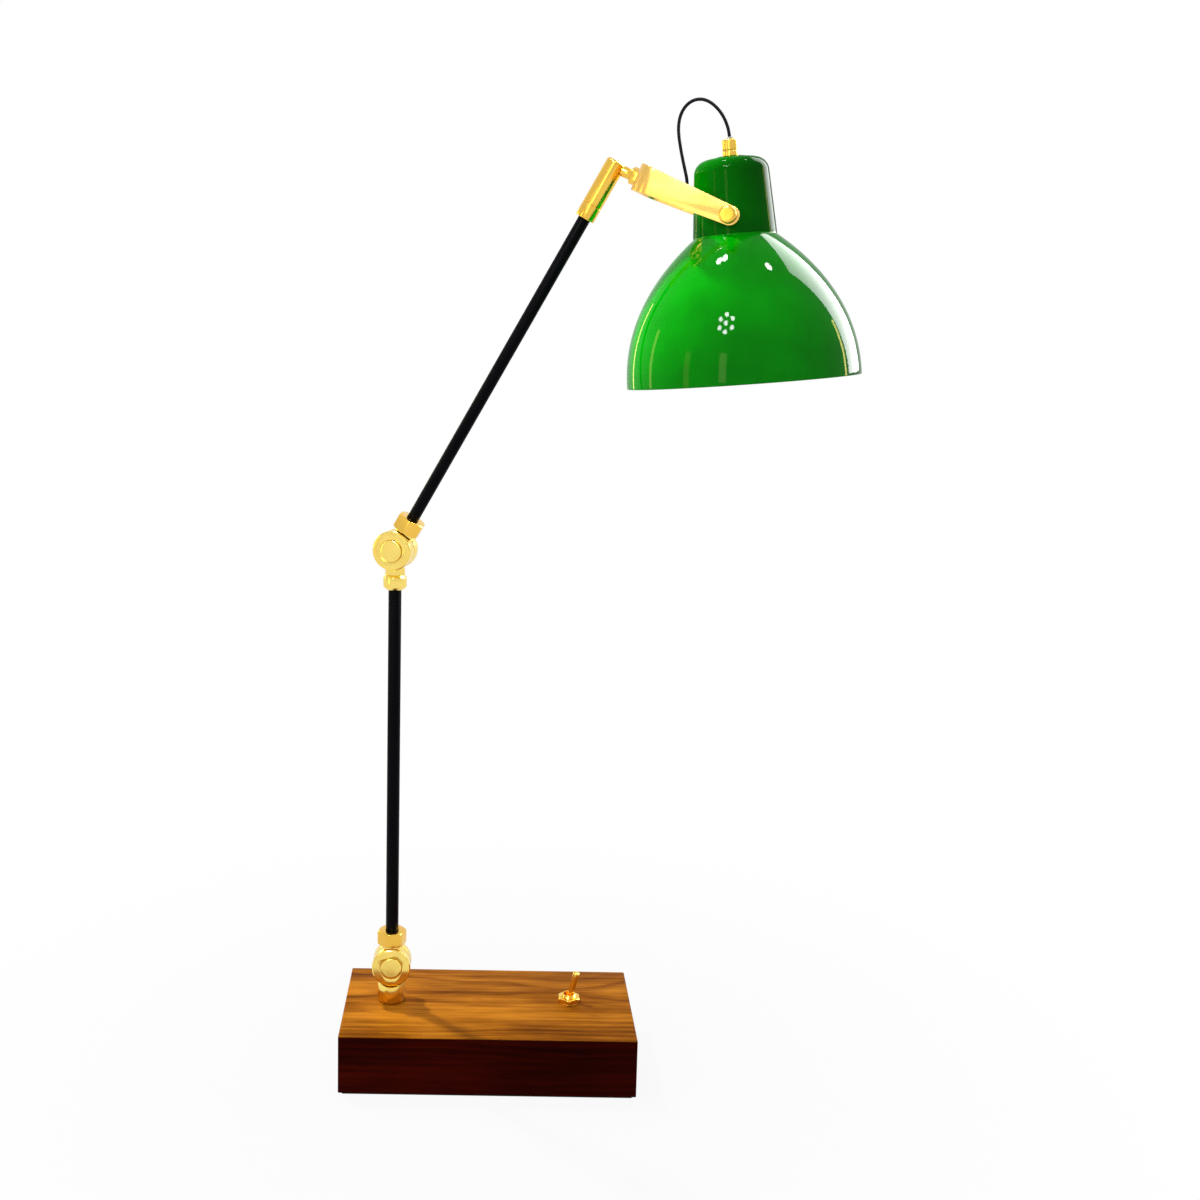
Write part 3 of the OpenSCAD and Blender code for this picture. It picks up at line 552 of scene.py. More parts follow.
@dataclass(frozen=True)
class OiledWalnut:
    """Flat-sawn walnut with its grain along X, rubbed with oil: a flowing figure, streaks and pores, with
    painted shade that darkens and reddens the faces that don't face up.
    """

    light: Colour = (0.43, 0.155, 0.010)
    middle: Colour = (0.205, 0.061, 0.002)
    dark: Colour = (0.036, 0.008, 0.0006)
    # Painted shade: the colour that faces turned away from up are multiplied by, for the shade that falls
    # on the block's sides.
    side: Colour = (0.15, 0.020, 0.04)
    pore: Colour = (0.30, 0.20, 0.14)
    pith: Spot = (0.0, 0.03, -0.075)
    rings_per_metre: float = 210.0

    def figure(self, board: Board) -> tuple[Socket, Socket]:
        """Bend the log and give its growth rings.

        Args:
            board: the material's board.

        Returns:
            The distance from the pith, and the late wood's share in each ring.
        """
        log = board.place((0.10, 1, 1), self.pith)
        for size, sway in (((2.6, 6, 6), (0.0, 0.020, 0.060)), ((8, 30, 30), (0.0, 0.003, 0.007))):
            wander = board.sum("SUBTRACT", board.noise(1.0, 2, 0.5, board.place(size)), 0.5)
            log = board.vector("ADD", log, board.vector("SCALE", sway, wander))
        split = board.add("ShaderNodeSeparateXYZ", in0=log).outputs
        flat = board.add("ShaderNodeCombineXYZ", in0=split["Y"], in1=split["Z"])
        radius = board.vector("LENGTH", flat)
        rings = board.sum("FRACT", board.times(radius, self.rings_per_metre))
        late = board.times(board.span(rings, 0.30, 0.90), board.span(rings, 0.90, 1.0, 1, 0))
        return radius, late

    def made(self) -> Finish:
        """Build the material."""
        board = Board("oiled_walnut")
        radius, late = self.figure(board)
        years = board.noise(48.0, 3, 0.6, board.add("ShaderNodeCombineXYZ", in0=radius))
        clouds = board.noise(1.0, at=board.place((6, 22, 22)))
        fibres = board.noise(1.0, 3, 0.65, board.place((26, 900, 900)))
        streaks = board.noise(1.0, at=board.place((7, 260, 260)))
        tone = board.times(late, board.span(years, 0.35, 0.65, 0.02, 0.20))
        for part, share in ((years, 0.42), (clouds, 0.80), (streaks, 0.42), (fibres, 0.30)):
            tone = board.sum("ADD", tone, board.times(board.sum("SUBTRACT", part, 0.5), share))
        stops = ((0.0, self.light), (0.45, self.middle), (1.0, self.dark))
        colour = board.ramp(board.span(tone, -0.16, 0.34), *stops)
        pores = board.span(board.noise(1.0, 1, 0.4, board.place((60, 1500, 1500))), 0.62, 0.70)
        colour = board.blend("MULTIPLY", board.times(pores, 0.5), colour, self.pore)
        # Painted shade: the further a face turns from up, the more it is multiplied by the side colour, so
        # the sides render darker than the lit top.
        normal = board.add("ShaderNodeNewGeometry").outputs["Normal"]
        up = board.add("ShaderNodeSeparateXYZ", in0=normal).outputs["Z"]
        colour = board.blend("MULTIPLY", board.span(up, 0.10, 0.60, 1.0, 0.0), colour, self.side)
        relief = board.sum("SUBTRACT", board.times(fibres, 0.6), board.times(pores, 0.9))
        return board.surface(
            Base_Color=colour,
            Roughness=board.span(streaks, 0.3, 0.7, 0.36, 0.50),
            Normal=board.relief(relief, 0.00006),
            Specular_IOR_Level=0.015,
        )


@dataclass(frozen=True)
class Brass:
    """Polished brass with fine machining marks about an axis, and the smudges of handling."""

    name: str
    place: Matrix
    axis: Spot = (0, 0, 1)
    tint: Colour = (0.90, 0.56, 0.09)
    rough: tuple[float, float] = (0.12, 0.24)
    depth: float = 0.00000018

    def made(self) -> Finish:
        """Build the material."""
        board = Board(self.name)
        axis = tuple(self.place.to_3x3() @ Vector(self.axis))
        away = board.place(shift=self.place.translation)
        height = board.vector("DOT_PRODUCT", away, axis)
        flat = board.vector("SUBTRACT", away, board.vector("SCALE", axis, height))
        lathe = board.add("ShaderNodeCombineXYZ", in0=board.vector("LENGTH", flat), in2=height)
        marks = board.noise(1000.0, 2, 0.5, lathe)
        smudge = board.span(board.noise(48.0, 2, 0.5), 0.32, 0.68, *self.rough)
        patina = board.span(board.noise(21.0), 0.35, 0.72, 0, 0.7)
        deep = tuple(part * share for part, share in zip(self.tint, (0.82, 0.70, 0.50)))
        return board.surface(
            Base_Color=board.blend("MIX", patina, self.tint, deep),
            Metallic=1.0,
            Roughness=board.sum("ADD", smudge, board.times(marks, 0.02)),
            Normal=board.relief(marks, self.depth),
        )


@dataclass(frozen=True)
class Lacquer:
    """Satin black lacquer on tube, with a faint drawn texture."""

    tint: Colour = (0.0018, 0.0018, 0.0030)

    def made(self) -> Finish:
        """Build the material."""
        board = Board("satin_black_lacquer")
        cloud = board.noise(24.0, 4, 0.6)
        return board.surface(
            Base_Color=board.shaded(cloud, self.tint, 2.1),
            Roughness=board.span(cloud, 0.3, 0.7, 0.30, 0.44),
            Normal=board.relief(board.noise(700.0, 2, 0.5), 0.000006),
            Specular_IOR_Level=0.03,
        )


@dataclass(frozen=True)
class Enamel:
    """Glossy enamel on spun sheet: deep colour under a clear coat, with a faint orange peel."""

    name: str
    tint: Colour
    deep: Colour
    coat: float
    rough: float = 0.16

    def made(self) -> Finish:
        """Build the material."""
        board = Board(self.name)
        cloud = board.noise(14.0)
        dust = board.span(board.noise(1500.0, 1, 0.3), 0.70, 0.78)
        satin = board.span(cloud, 0.3, 0.7, self.rough, self.rough + 0.08)
        return board.surface(
            Base_Color=board.blend("MIX", board.span(cloud, 0.3, 0.7), self.tint, self.deep),
            Roughness=board.sum("ADD", satin, board.times(dust, 0.15)),
            Normal=board.relief(board.noise(240.0, 2, 0.5), 0.000004),
            Coat_Weight=self.coat,
            Coat_Roughness=0.03,
            Coat_IOR=1.2,
            Specular_IOR_Level=0.0,
        )


@dataclass(frozen=True)
class Steel:
    """Zinc-plated, cast or coated steel."""

    name: str
    tint: Colour
    metal: float = 1.0
    rough: tuple[float, float] = (0.25, 0.45)
    grain: float = 350.0
    depth: float = 0.00001

    def made(self) -> Finish:
        """Build the material."""
        board = Board(self.name)
        cloud = board.span(board.noise(90.0, 4, 0.6), 0.3, 0.7, 0, 0.8)
        grain = board.noise(self.grain, 4, 0.6)
        return board.surface(
            Base_Color=board.shaded(cloud, self.tint, 0.62),
            Metallic=self.metal,
            Roughness=board.span(grain, 0.3, 0.7, *self.rough),
            Normal=board.relief(grain, self.depth),
        )


@dataclass(frozen=True)
class Moulded:
    """Moulded or pressed stuff: phenolic, nylon, fibre or rubber."""

    name: str
    tint: Colour
    rough: tuple[float, float] = (0.3, 0.45)
    grain: float = 500.0
    depth: float = 0.00001
    passes: float = 0.0
    gloss: float = 0.5

    def made(self) -> Finish:
        """Build the material."""
        board = Board(self.name)
        grain = board.noise(self.grain, 3, 0.6)
        return board.surface(
            Base_Color=board.shaded(board.span(board.noise(60.0, 4, 0.6), 0.3, 0.7), self.tint, 0.7),
            Roughness=board.span(grain, 0.3, 0.7, *self.rough),
            Normal=board.relief(grain, self.depth),
            Transmission_Weight=self.passes,
            Specular_IOR_Level=self.gloss,
            IOR=1.49,
        )


@dataclass(frozen=True)
class Felt:
    """Dense wool felt with a short nap."""

    tint: Colour = (0.012, 0.045, 0.018)

    def made(self) -> Finish:
        """Build the material."""
        board = Board("wool_felt")
        nap = board.noise(1400.0, 4, 0.7)
        colour = board.shaded(board.noise(120.0, 4, 0.6), self.tint, 1.9)
        shadows = board.ramp(nap, (0.3, (0.4, 0.4, 0.4)), (0.7, (1, 1, 1)))
        return board.surface(
            Base_Color=board.blend("MULTIPLY", 0.7, colour, shadows),
            Roughness=0.95,
            Normal=board.relief(nap, 0.0003),
            Sheen_Weight=0.35,
            Sheen_Roughness=0.5,
            Specular_IOR_Level=0.15,
        )


@dataclass(frozen=True)
class OpalGlass:
    """Opal glass: white and softly lit through, under a smooth skin."""

    tint: Colour = (0.86, 0.85, 0.81)

    def made(self) -> Finish:
        """Build the material."""
        board = Board("opal_glass")
        cloud = board.noise(70.0, 3, 0.5)
        return board.surface(
            Base_Color=board.shaded(cloud, self.tint, 0.95),
            Roughness=board.span(cloud, 0.3, 0.7, 0.16, 0.24),
            Normal=board.relief(cloud, 0.00001),
            Coat_Weight=0.6,
            Coat_Roughness=0.05,
            Subsurface_Weight=0.25,
            Subsurface_Radius=(0.012, 0.011, 0.010),
            Subsurface_Scale=0.4,
        )


# ---- The studio ----


@dataclass
class Studio:
    """A pale floor, soft lamps, a white surround and the camera."""

    eye: Spot = (-0.0084, -1.2033, 0.6451)
    yaw: float = 0.21
    pitch: float = 7.7
    roll: float = 1.0
    lens: float = 43.5
    shift: tuple[float, float] = (0.09, -0.07)
    low_light: float = 0.15
    high_light: float = 1.1
    front_gloss: float = 0.85
    white_floor: float = 0.93

    def camera(self) -> None:
        """Set up the camera."""
        yaw, pitch, roll = (radians(angle) for angle in (self.yaw, self.pitch, self.roll))
        ahead = Vector((sin(yaw) * cos(pitch), cos(yaw) * cos(pitch), -sin(pitch)))
        right = Vector((cos(yaw), -sin(yaw), 0))
        up = right.cross(ahead)
        x = cos(roll) * right + sin(roll) * up
        y = cos(roll) * up - sin(roll) * right
        data = bpy.data.cameras.new("camera")
        data.lens, data.sensor_width = self.lens, 36
        data.shift_x, data.shift_y = self.shift
        data.clip_start, data.clip_end = 0.05, 60
        camera = Bench.linked("camera", data)
        camera.matrix_world = Matrix.Translation(self.eye) @ Matrix((x, y, -ahead)).transposed().to_4x4()
        bpy.context.scene.camera = camera

    @staticmethod
    def hang(
        name: str,
        at: Sequence[float],
        aim: Vector,
        size: tuple[float, float],
        glow: float,
        tint: Colour = (1, 1, 1),
        disc: bool = False,
    ) -> Obj:
        """Hang a lamp.

        Args:
            name: the lamp's name.
            at: its place in metres.
            aim: the point that it shines at.
            size: its width and height in metres.
            glow: its brightness, where a white surround has 1.
            tint: its colour.
            disc: whether it is round and not a panel.

        Returns:
            The lamp.
        """
        data = bpy.data.lights.new(name, "AREA")
        data.shape = "ELLIPSE" if disc else "RECTANGLE"
        data.size, data.size_y = size
        data.color = tint
        data.energy = glow * size[0] * size[1] * (pi / 4 if disc else 1) * pi
        obj = Bench.linked(name, data)
        obj.location = at
        obj.rotation_euler = (aim - Vector(at)).to_track_quat("-Z", "Y").to_euler()
        return obj

    def lamps(self) -> None:
        """Hang the key and side lamps, and the window, panel and ceiling lamps that the gloss shows."""
        block, shade = Vector((-0.03, 0.0, 0.05)), Vector((0.18, -0.07, 0.66))
        amber, straw = (1.0, 0.80, 0.25), (1.0, 0.90, 0.45)
        matt = [
            self.hang("key", (-0.63, 0.52, 1.65), block, (0.08, 0.08), 1350),
            self.hang("side", (-1.40, -0.70, 1.40), shade, (0.8, 0.8), 7.0),
        ]
        gloss = [
            self.hang("window", (1.40, 0.75, 1.45), shade, (0.9, 1.8), 18.0),
            self.hang("panel", (-0.66, -1.62, 0.86), shade, (0.22, 0.62), 6.0, straw),
        ]
        rose = Vector((-0.46, -1.19, 1.67))
        spots = [rose, (-0.23, -0.01, 1.83), (-0.13, -0.03, 1.86), (0.61, -0.15, 1.82)]
        for turn in range(6):
            a = radians(60 * turn + 20)
            spots.append(rose + Vector((0.20 * cos(a), 0.09 * sin(a), 0.17 * sin(a))))
        for k, at in enumerate(spots):
            gloss.append(self.hang(f"spot_{k}", at, shade, (0.11, 0.11), 110, disc=True))
        strips = (
            ((-0.72, 1.13, 0.75), 0.07, 14.0),
            ((-1.25, 0.42, 0.75), 0.10, 10.0),
            ((-1.22, -0.75, 0.62), 0.16, 4.0),
            ((1.58, 0.28, 0.85), 0.08, 24.0),
        )
        for k, (at, width, glow) in enumerate(strips):
            gloss.append(self.hang(f"strip_{k}", at, shade, (width, 0.85), glow, amber))
        for lamp in gloss:
            lamp.visible_diffuse = False
        for lamp in matt:
            lamp.visible_glossy = False

    def surround(self) -> None:
        """Light the object softly, most from above; camera rays and gloss see white behind it."""
        board = Board("surround", world=True)
        coords = board.add("ShaderNodeTexCoord").outputs["Generated"]
        split = board.add("ShaderNodeSeparateXYZ", in0=coords).outputs

        def graded(along: str, low: float, high: float, *ends: float) -> bpy.types.Node:
            """Give a white glow that grows along an axis."""
            strength = board.span(split[along], low, high, *ends)
            return board.add("ShaderNodeBackground", Color=(1, 1, 1, 1), Strength=strength)

        rays = board.add("ShaderNodeLightPath").outputs
        white = board.add("ShaderNodeBackground", Color=(1, 1, 1, 1), Strength=1.0)
        lit = graded("Z", 0.2, 1.0, self.low_light, self.high_light)
        for ray, seen in (
            ("Is Glossy Ray", graded("Y", 0.0, 0.9, self.front_gloss, 1.0)),
            ("Is Transmission Ray", white),
            ("Is Camera Ray", white),
        ):
            lit = board.add("ShaderNodeMixShader", in0=rays[ray], in1=lit, in2=seen)
        bpy.context.scene.world = board.shown(lit)

    def floor(self) -> None:
        """Lay a pale floor that keeps the shadow near the lamp and is white further away."""
        Bench.clear()
        bpy.ops.mesh.primitive_plane_add(size=12)
        obj = Bench.named("floor")
        board = Board("pale_floor")
        far = board.vector("LENGTH", board.place((1, 1, 0)))
        rays = board.add("ShaderNodeLightPath").outputs
        seen = board.sum("MAXIMUM", rays["Is Camera Ray"], rays["Is Glossy Ray"])
        seen = board.sum("MAXIMUM", seen, rays["Is Transmission Ray"])
        share = board.times(seen, board.span(far, 0.16, 0.60, self.white_floor, 1.0))
        grey = board.add(
            "ShaderNodeBsdfPrincipled",
            Base_Color=(0.36, 0.36, 0.36, 1),
            Roughness=0.85,
            Specular_IOR_Level=0.1,
        )
        white = board.add("ShaderNodeEmission", Color=(1, 1, 1, 1), Strength=1.0)
        mixed = board.add("ShaderNodeMixShader", in0=share, in1=grey, in2=white)
        obj.data.materials.append(board.shown(mixed))

    def build(self) -> None:
        """Set the studio up."""
        self.camera()
        self.lamps()
        self.surround()
        self.floor()
        bpy.context.scene.view_settings.view_transform = "Standard"


# ---- The lamp ----


@dataclass
class Flex:
    """The thin black flex that leaves the stem, loops up behind the neck and enters the grip."""

    diameter: float = 2.6
    steps: int = 5
    bend: tuple[float, float] = (-38.0, -5.7)
    points: tuple[tuple[float, float], ...] = (
        (-72.4, 30.1), (-66, 27.4), (-60, 24.9), (-54, 22.4), (-48.5, 20), (-43.6, 18.9),
        (-39.4, 20.8), (-37.2, 24.8), (-37.4, 30), (-39, 37), (-41, 45), (-43, 54), (-44.6, 63),
        (-45, 71), (-43.6, 78.6), (-40, 85), (-34.4, 89), (-27.8, 89.8), (-21.4, 87.4),
        (-15.6, 82.6), (-10.9, 76.4), (-7.9, 70), (-6.4, 65), (-5.7, 60.6), (-5.3, 56),
    )

    def placed(self, x: float, y: float) -> Vector:
        """Give a point of the flex's upright plane in metres, from the shade's pivot."""
        ahead = joint_axis("elbow").cross(UP).normalized()
        return joint_place("shade_tilt") + (x * ahead + y * UP) * MM

    def route(self) -> list[Vector]:
        """Give the smooth line that the flex follows, in metres."""
        flat = [Vector(p) for p in self.points]
        last = len(flat) - 1
        line: list[Vector] = []
        for i in range(last):
            a, b, c, d = flat[max(i - 1, 0)], flat[i], flat[i + 1], flat[min(i + 2, last)]
            for step in range(self.steps):
                t = step / self.steps
                square = (2 * a - 5 * b + 4 * c - d) * t * t
                cube = (3 * b - a - 3 * c + d) * t ** 3
                line.append(0.5 * (2 * b + (c - a) * t + square + cube))
        line.append(flat[last])
        return [self.placed(p.x, p.y) for p in line]

    def drawn(self, line: list[Vector]) -> Obj:
        """Draw a tube along a line and turn it into a mesh.

        Args:
            line: the line in metres.

        Returns:
            The tube.
        """
        Bench.clear()
        curve = bpy.data.curves.new("flex", "CURVE")
        curve.dimensions, curve.bevel_depth, curve.bevel_resolution = "3D", self.diameter * MM / 2, 5
        curve.use_fill_caps = True
        spline = curve.splines.new("POLY")
        spline.points.add(len(line) - 1)
        for point, at in zip(spline.points, line):
            point.co = (*at, 1)
        Bench.pick(Bench.linked("flex", curve))
        bpy.ops.object.convert(target="MESH")
        obj = Bench.named("flex")
        bpy.ops.object.shade_smooth_by_angle(angle=radians(40))
        return obj

    def build(self) -> None:
        """Make the flex in place, give it its rubber, and hide the frame's own flex."""
        line = self.route()
        obj = self.drawn(line)
        rubber = Moulded("flex_rubber", (0.006, 0.005, 0.012), (0.45, 0.6), 900.0, 0.000008, 0.0, 0.1)
        obj.data.materials.append(rubber.made())
        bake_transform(obj)
        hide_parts("shade_flex")


@dataclass
class WalnutBase:
    """The weighted block, its felt, its inlet and what it hides."""

    length: float = 250
    width: float = 130
    height: float = 50
    felt: float = 1.5
    edge: float = 0.9
    wall: float = 20
    roof: float = 16
    lip: float = 9
    cover: float = 2
    works_back: float = 5
    foot_x: float = -85
    foot_bore: float = 10.1
    switch_x: float = 71
    switch_bore: float = 12.1
    inlet_x: float = -7
    inlet_up: float = 13
    inlet_bore: float = 10.1
    inlet_barrel: float = 10
    inlet_flange: float = 15
    inlet_flange_high: float = 2
    cord_hole: float = 6.5

    def block(self) -> None:
        """Shape the block: rounded arrises, a rebate and a pocket from below, and its bores."""
        obj = Bench.box("walnut_block", self.length, self.width, self.height, self.felt)
        Bench.edit()
        bpy.ops.mesh.select_mode(type="FACE")
        bpy.ops.mesh.bevel(offset=self.edge * MM, segments=4, profile=0.5, affect="EDGES")
        bpy.ops.object.mode_set(mode="OBJECT")
        full = self.felt + self.height
        top = full - self.roof
        for inset, high in ((self.wall - self.lip, self.felt + self.cover), (self.wall, top)):
            tool = Bench.box("pocket_tool", self.length - 2 * inset, self.width - 2 * inset, high)
            Bench.worked(obj, tool)
        through = [
            (rod(bore / 2, top - 1, full + 1), Matrix.Translation(Vector((x, self.works_back, 0)) * MM))
            for x, bore in ((self.foot_x, self.foot_bore), (self.switch_x, self.switch_bore))
        ]
        start = Vector((self.inlet_x, self.width / 2 - self.wall - 1, self.felt + self.inlet_up)) * MM
        inlet = facing(Matrix.Translation(start), back=True)
        for outline, place in (*through, (rod(self.inlet_bore / 2, 0, self.wall + 2), inlet)):
            Bench.worked(obj, Bench.turned("bore_tool", outline, place, 64))
        Bench.pick(obj)
        bpy.ops.object.shade_smooth_by_angle(angle=radians(30))
        Fit("base", "walnut", OiledWalnut().made()).fitted(obj, "base_block")

    def inlet(self) -> None:
        """Turn the inlet bushing with its rounded flange at the back."""
        low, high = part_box("inlet_bushing")
        start = Vector((self.inlet_x * MM, low.y, (self.felt + self.inlet_up) * MM))
        long = (high.y - low.y) / MM
        step = long - self.inlet_flange_high
        hole, barrel, flange = self.cord_hole / 2, self.inlet_barrel / 2, self.inlet_flange / 2
        outline = [
            (hole, 0), (barrel, 0), (barrel, step), (flange, step), (flange, step + 0.9),
            (flange - 0.9, long - 0.3), (barrel + 0.2, long), (hole + 0.85, long),
            (hole + 0.25, long - 0.8), (hole, long - 1.8), (hole, 0),
        ]
        nylon = Moulded("inlet_nylon", (0.014, 0.014, 0.015), (0.38, 0.55), 600.0, 0.00002).made()
        place = facing(Matrix.Translation(start), back=True)
        Fit("base", "inlet_black", nylon).lathed("inlet_bushing", outline, place, 72, 0.25)

    def build(self) -> None:
        """Build the block and dress what stays."""
        self.block()
        self.inlet()
        coat = Steel("black_coat", (0.02, 0.02, 0.021), 0.0, (0.5, 0.7), 800.0, 0.00003)
        cast = Steel("cast_ballast", (0.15, 0.15, 0.16), 0.8, (0.55, 0.8), 260.0, 0.0002)
        nylon = Moulded("terminal_nylon", (0.78, 0.77, 0.72))
        zinc = Steel("zinc_plate", (0.62, 0.62, 0.60))
        screws = ("cover_screws", "ballast_screws", "terminal_screw")
        nuts = ("foot_nipple", "foot_washer", "foot_nut", "pivot_nuts", "holder_nipple")
        for stuff, nodes in (
            (Felt(), ["felt_pad"]),
            (coat, ["base_cover"]),
            (cast, ["ballast_plate"]),
            (zinc, [*screws, *nuts]),
            (nylon, ["terminal_block"]),
        ):
            dressed(stuff.made(), *nodes)


@dataclass
class DiscJoint:
    """A friction joint of two brass discs on a bolt with round caps."""

    name: str
    place: Matrix
    halves: tuple[tuple[str, str], tuple[str, str]]
    thick: float = 10.5
    washer: float = 1.0
    cap: float = 18.5
    proud: float = 1.6
    recess: float = 1.5
    edge: float = 0.3
    running: float = 0.02
    dome: float = 0.12

    def cap_outline(self) -> Outline:
        """Give a bolt's round cap, with a faint dome and a soft edge."""
        floor = self.washer / 2 + self.thick - self.recess
        base, top = floor + self.running, floor + self.recess + self.proud
        r = self.cap / 2
        outline = [(0, base), (r, base), (r, top - 0.55), (r - 0.16, top - 0.2), (r - 0.6, top)]
        for share in (0.75, 0.5, 0.25):
            outline.append((r * share, top - self.dome + self.dome * (1 - share * share)))
        return [*outline, (0, top)]

    def build(self) -> None:
        """Soften the two discs, and turn the bolt's cap and its nut on the first disc's body."""
        brass = Brass(f"brass_{self.name}_disc", self.place, (0, 1, 0), (0.96, 0.74, 0.19)).made()
        for node, body in self.halves:
            Fit(body, "brass", brass).refined(node, self.edge)
        bolted = Fit(self.halves[0][1], "brass", brass)
        for end, back in (("bolt", False), ("cap_nut", True)):
            bolted.lathed(f"{self.name}_{end}", self.cap_outline(), facing(self.place, back))


@dataclass
class HexCollar:
    """A hexagonal collar with rounded corners that clamps a tube, or a nut of the same form."""

    bore: float
    turn: float
    across: float = 22
    start: float = 18.4
    height: float = 12.5
    chamfer: float = 1.25
    shank: float = 14.1
    lip: float = 2.5

    def build(self, node: str, place: Matrix, fit: Fit) -> None:
        """Cut the collar from hexagon bar.

        Args:
            node: the frame node that it replaces.
            place: the tube's frame.
            fit: how it belongs to the lamp.
        """
        start, end = self.start, self.start + self.height
        Bench.clear()
        bpy.ops.mesh.primitive_cylinder_add(
            vertices=6,
            radius=self.across * MM / 2 / cos(pi / 6),
            depth=self.height * MM,
            location=(0, 0, (start + self.height / 2) * MM),
        )
        turned = place @ Matrix.Rotation(radians(self.turn), 4, "Z")
        obj = Bench.put(Bench.named(f"{node}_piece"), turned)
        corner = self.across / 2 / cos(pi / 6)
        c = self.chamfer
        crown = [
            (0, start), (corner - c * 1.3, start), (corner - c * 0.4, start + c * 0.45),
            (corner, start + c), (corner, end - c), (corner - c * 0.4, end - c * 0.45),
            (corner - c * 1.3, end), (0, end),
        ]
        Bench.worked(obj, Bench.turned("crown_tool", crown, place, 144), Cut.SHARED)
        shank, bore, step = self.shank / 2, self.bore / 2, end - self.lip
        below, above = start - 1, end + 1
        hole = [(0, below), (shank, below), (shank, step), (bore, step), (bore, above), (0, above)]
        Bench.worked(obj, Bench.turned("hole_tool", hole, place, 96))
        fit.fitted(Bench.softened(obj, 0.22), node)


@dataclass
class Post:
    """The foot, the lower joint, the post's tube and the elbow."""

    tube: float = 11
    tube_from: float = 19.9
    slip: float = 0.6

    def build(self, arm_brass: Finish, black: Finish) -> None:
        """Build the post from the foot up to the elbow.

        Args:
            arm_brass: the brass of the arm's own collar.
            black: the tube's lacquer.
        """
        foot = FRAMES.foot
        DiscJoint("lower", foot, (("foot_knuckle", "base"), ("post_knuckle", "post_joint"))).build()
        elbow = (("elbow_lower_half", "post"), ("elbow_upper_half", "arm"))
        DiscJoint("elbow", FRAMES.elbow, elbow).build()
        brass = Fit("post_joint", "brass", Brass("brass_post", foot).made())
        HexCollar(self.tube + self.slip, -18).build("post_collar", foot, brass)
        HexCollar(Arm.tube + self.slip, 7).build("arm_collar", FRAMES.arm, Fit("arm", "brass", arm_brass))
        fibre = Moulded("pressed_fibre", (0.05, 0.042, 0.034), (0.7, 0.9), 900.0, 0.00005).made()
        dressed(fibre, "lower_friction_washer", "elbow_friction_washer")
        top = (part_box("lower_tube")[1].z - foot.translation.z) / MM
        outline = pipe(self.tube, self.tube_from, top)
        Fit("post", "tube_black", black).lathed("lower_tube", outline, foot, 72, 0.1, name="post_tube")


@dataclass
class Arm:
    """The slanting tube, its ferrule and domed sleeve, and the stem that carries the yoke."""

    tube: float = 10
    tube_from: float = 19.9
    ferrule_from: float = 315
    ferrule_high: float = 12
    sleeve: float = 16
    sleeve_high: float = 38.5
    sleeve_round: float = 2.2
    seat: float = 12
    slip: float = 0.05
    stem_bore: float = 6.1
    nut_bore: float = 8.7
    nut_deep: float = 0.75
    stem_wall: float = 1.5

    def ferrule(self, fit: Fit) -> None:
        """Turn the ferrule, with a fine groove at its seam with the sleeve."""
        r, bore = self.sleeve / 2, self.tube / 2 + self.slip
        low = self.ferrule_from
        high = low + self.ferrule_high
        outline = [
            (bore, low), (r - 0.35, low), (r - 0.1, low + 0.1), (r, low + 0.4), (r, high - 0.3),
            (r - 0.3, high), (bore, high), (bore, low),
        ]
        fit.lathed("arm_ferrule", outline, FRAMES.arm, 96, 0.1)

    def domed_sleeve(self, fit: Fit) -> None:
        """Turn the sleeve with its rounded end, and bore it for the tube and the stem."""
        r, soft = self.sleeve / 2, self.sleeve_round
        low = self.ferrule_from + self.ferrule_high
        high = low + self.sleeve_high
        bend = arc((r - soft, high - soft), soft, 9, 11)
        outline = [(0, low), (r - 0.3, low), (r, low + 0.3), *bend, (0, high)]
        obj = Bench.turned("arm_sleeve_piece", outline, FRAMES.arm, 144)
        seat = rod(self.tube / 2 + self.slip, low - 1, low + self.seat)
        Bench.worked(obj, Bench.turned("seat_tool", seat, FRAMES.arm, 72))
        bore, nut, floor = self.stem_bore / 2, self.nut_bore / 2, r - self.nut_deep
        end, past = self.stem_wall - r, self.sleeve - 1
        stem = [(0, end), (bore, end), (bore, floor), (nut, floor), (nut, past), (0, past)]
        Bench.worked(obj, Bench.turned("stem_tool", stem, FRAMES.stem, 72))
        fit.fitted(Bench.softened(obj, 0.12), "arm_sleeve")

    def build(self, arm_brass: Finish, black: Finish) -> None:
        """Build the arm.

        Args:
            arm_brass: brass with marks about the arm's line.
            black: the tube's lacquer.
        """
        outline = pipe(self.tube, self.tube_from, self.ferrule_from + self.ferrule_high + self.seat)
        Fit("arm", "tube_black", black).lathed("upper_tube", outline, FRAMES.arm, 72, 0.1, name="arm_tube")
        fit = Fit("arm", "brass", arm_brass)
        self.ferrule(fit)
        self.domed_sleeve(fit)
        fit = Fit("arm", "brass", Brass("brass_stem", FRAMES.stem).made())
        for node in ("yoke_stem", "stem_nut", "crown_lock_nut"):
            fit.refined(node, 0.15)


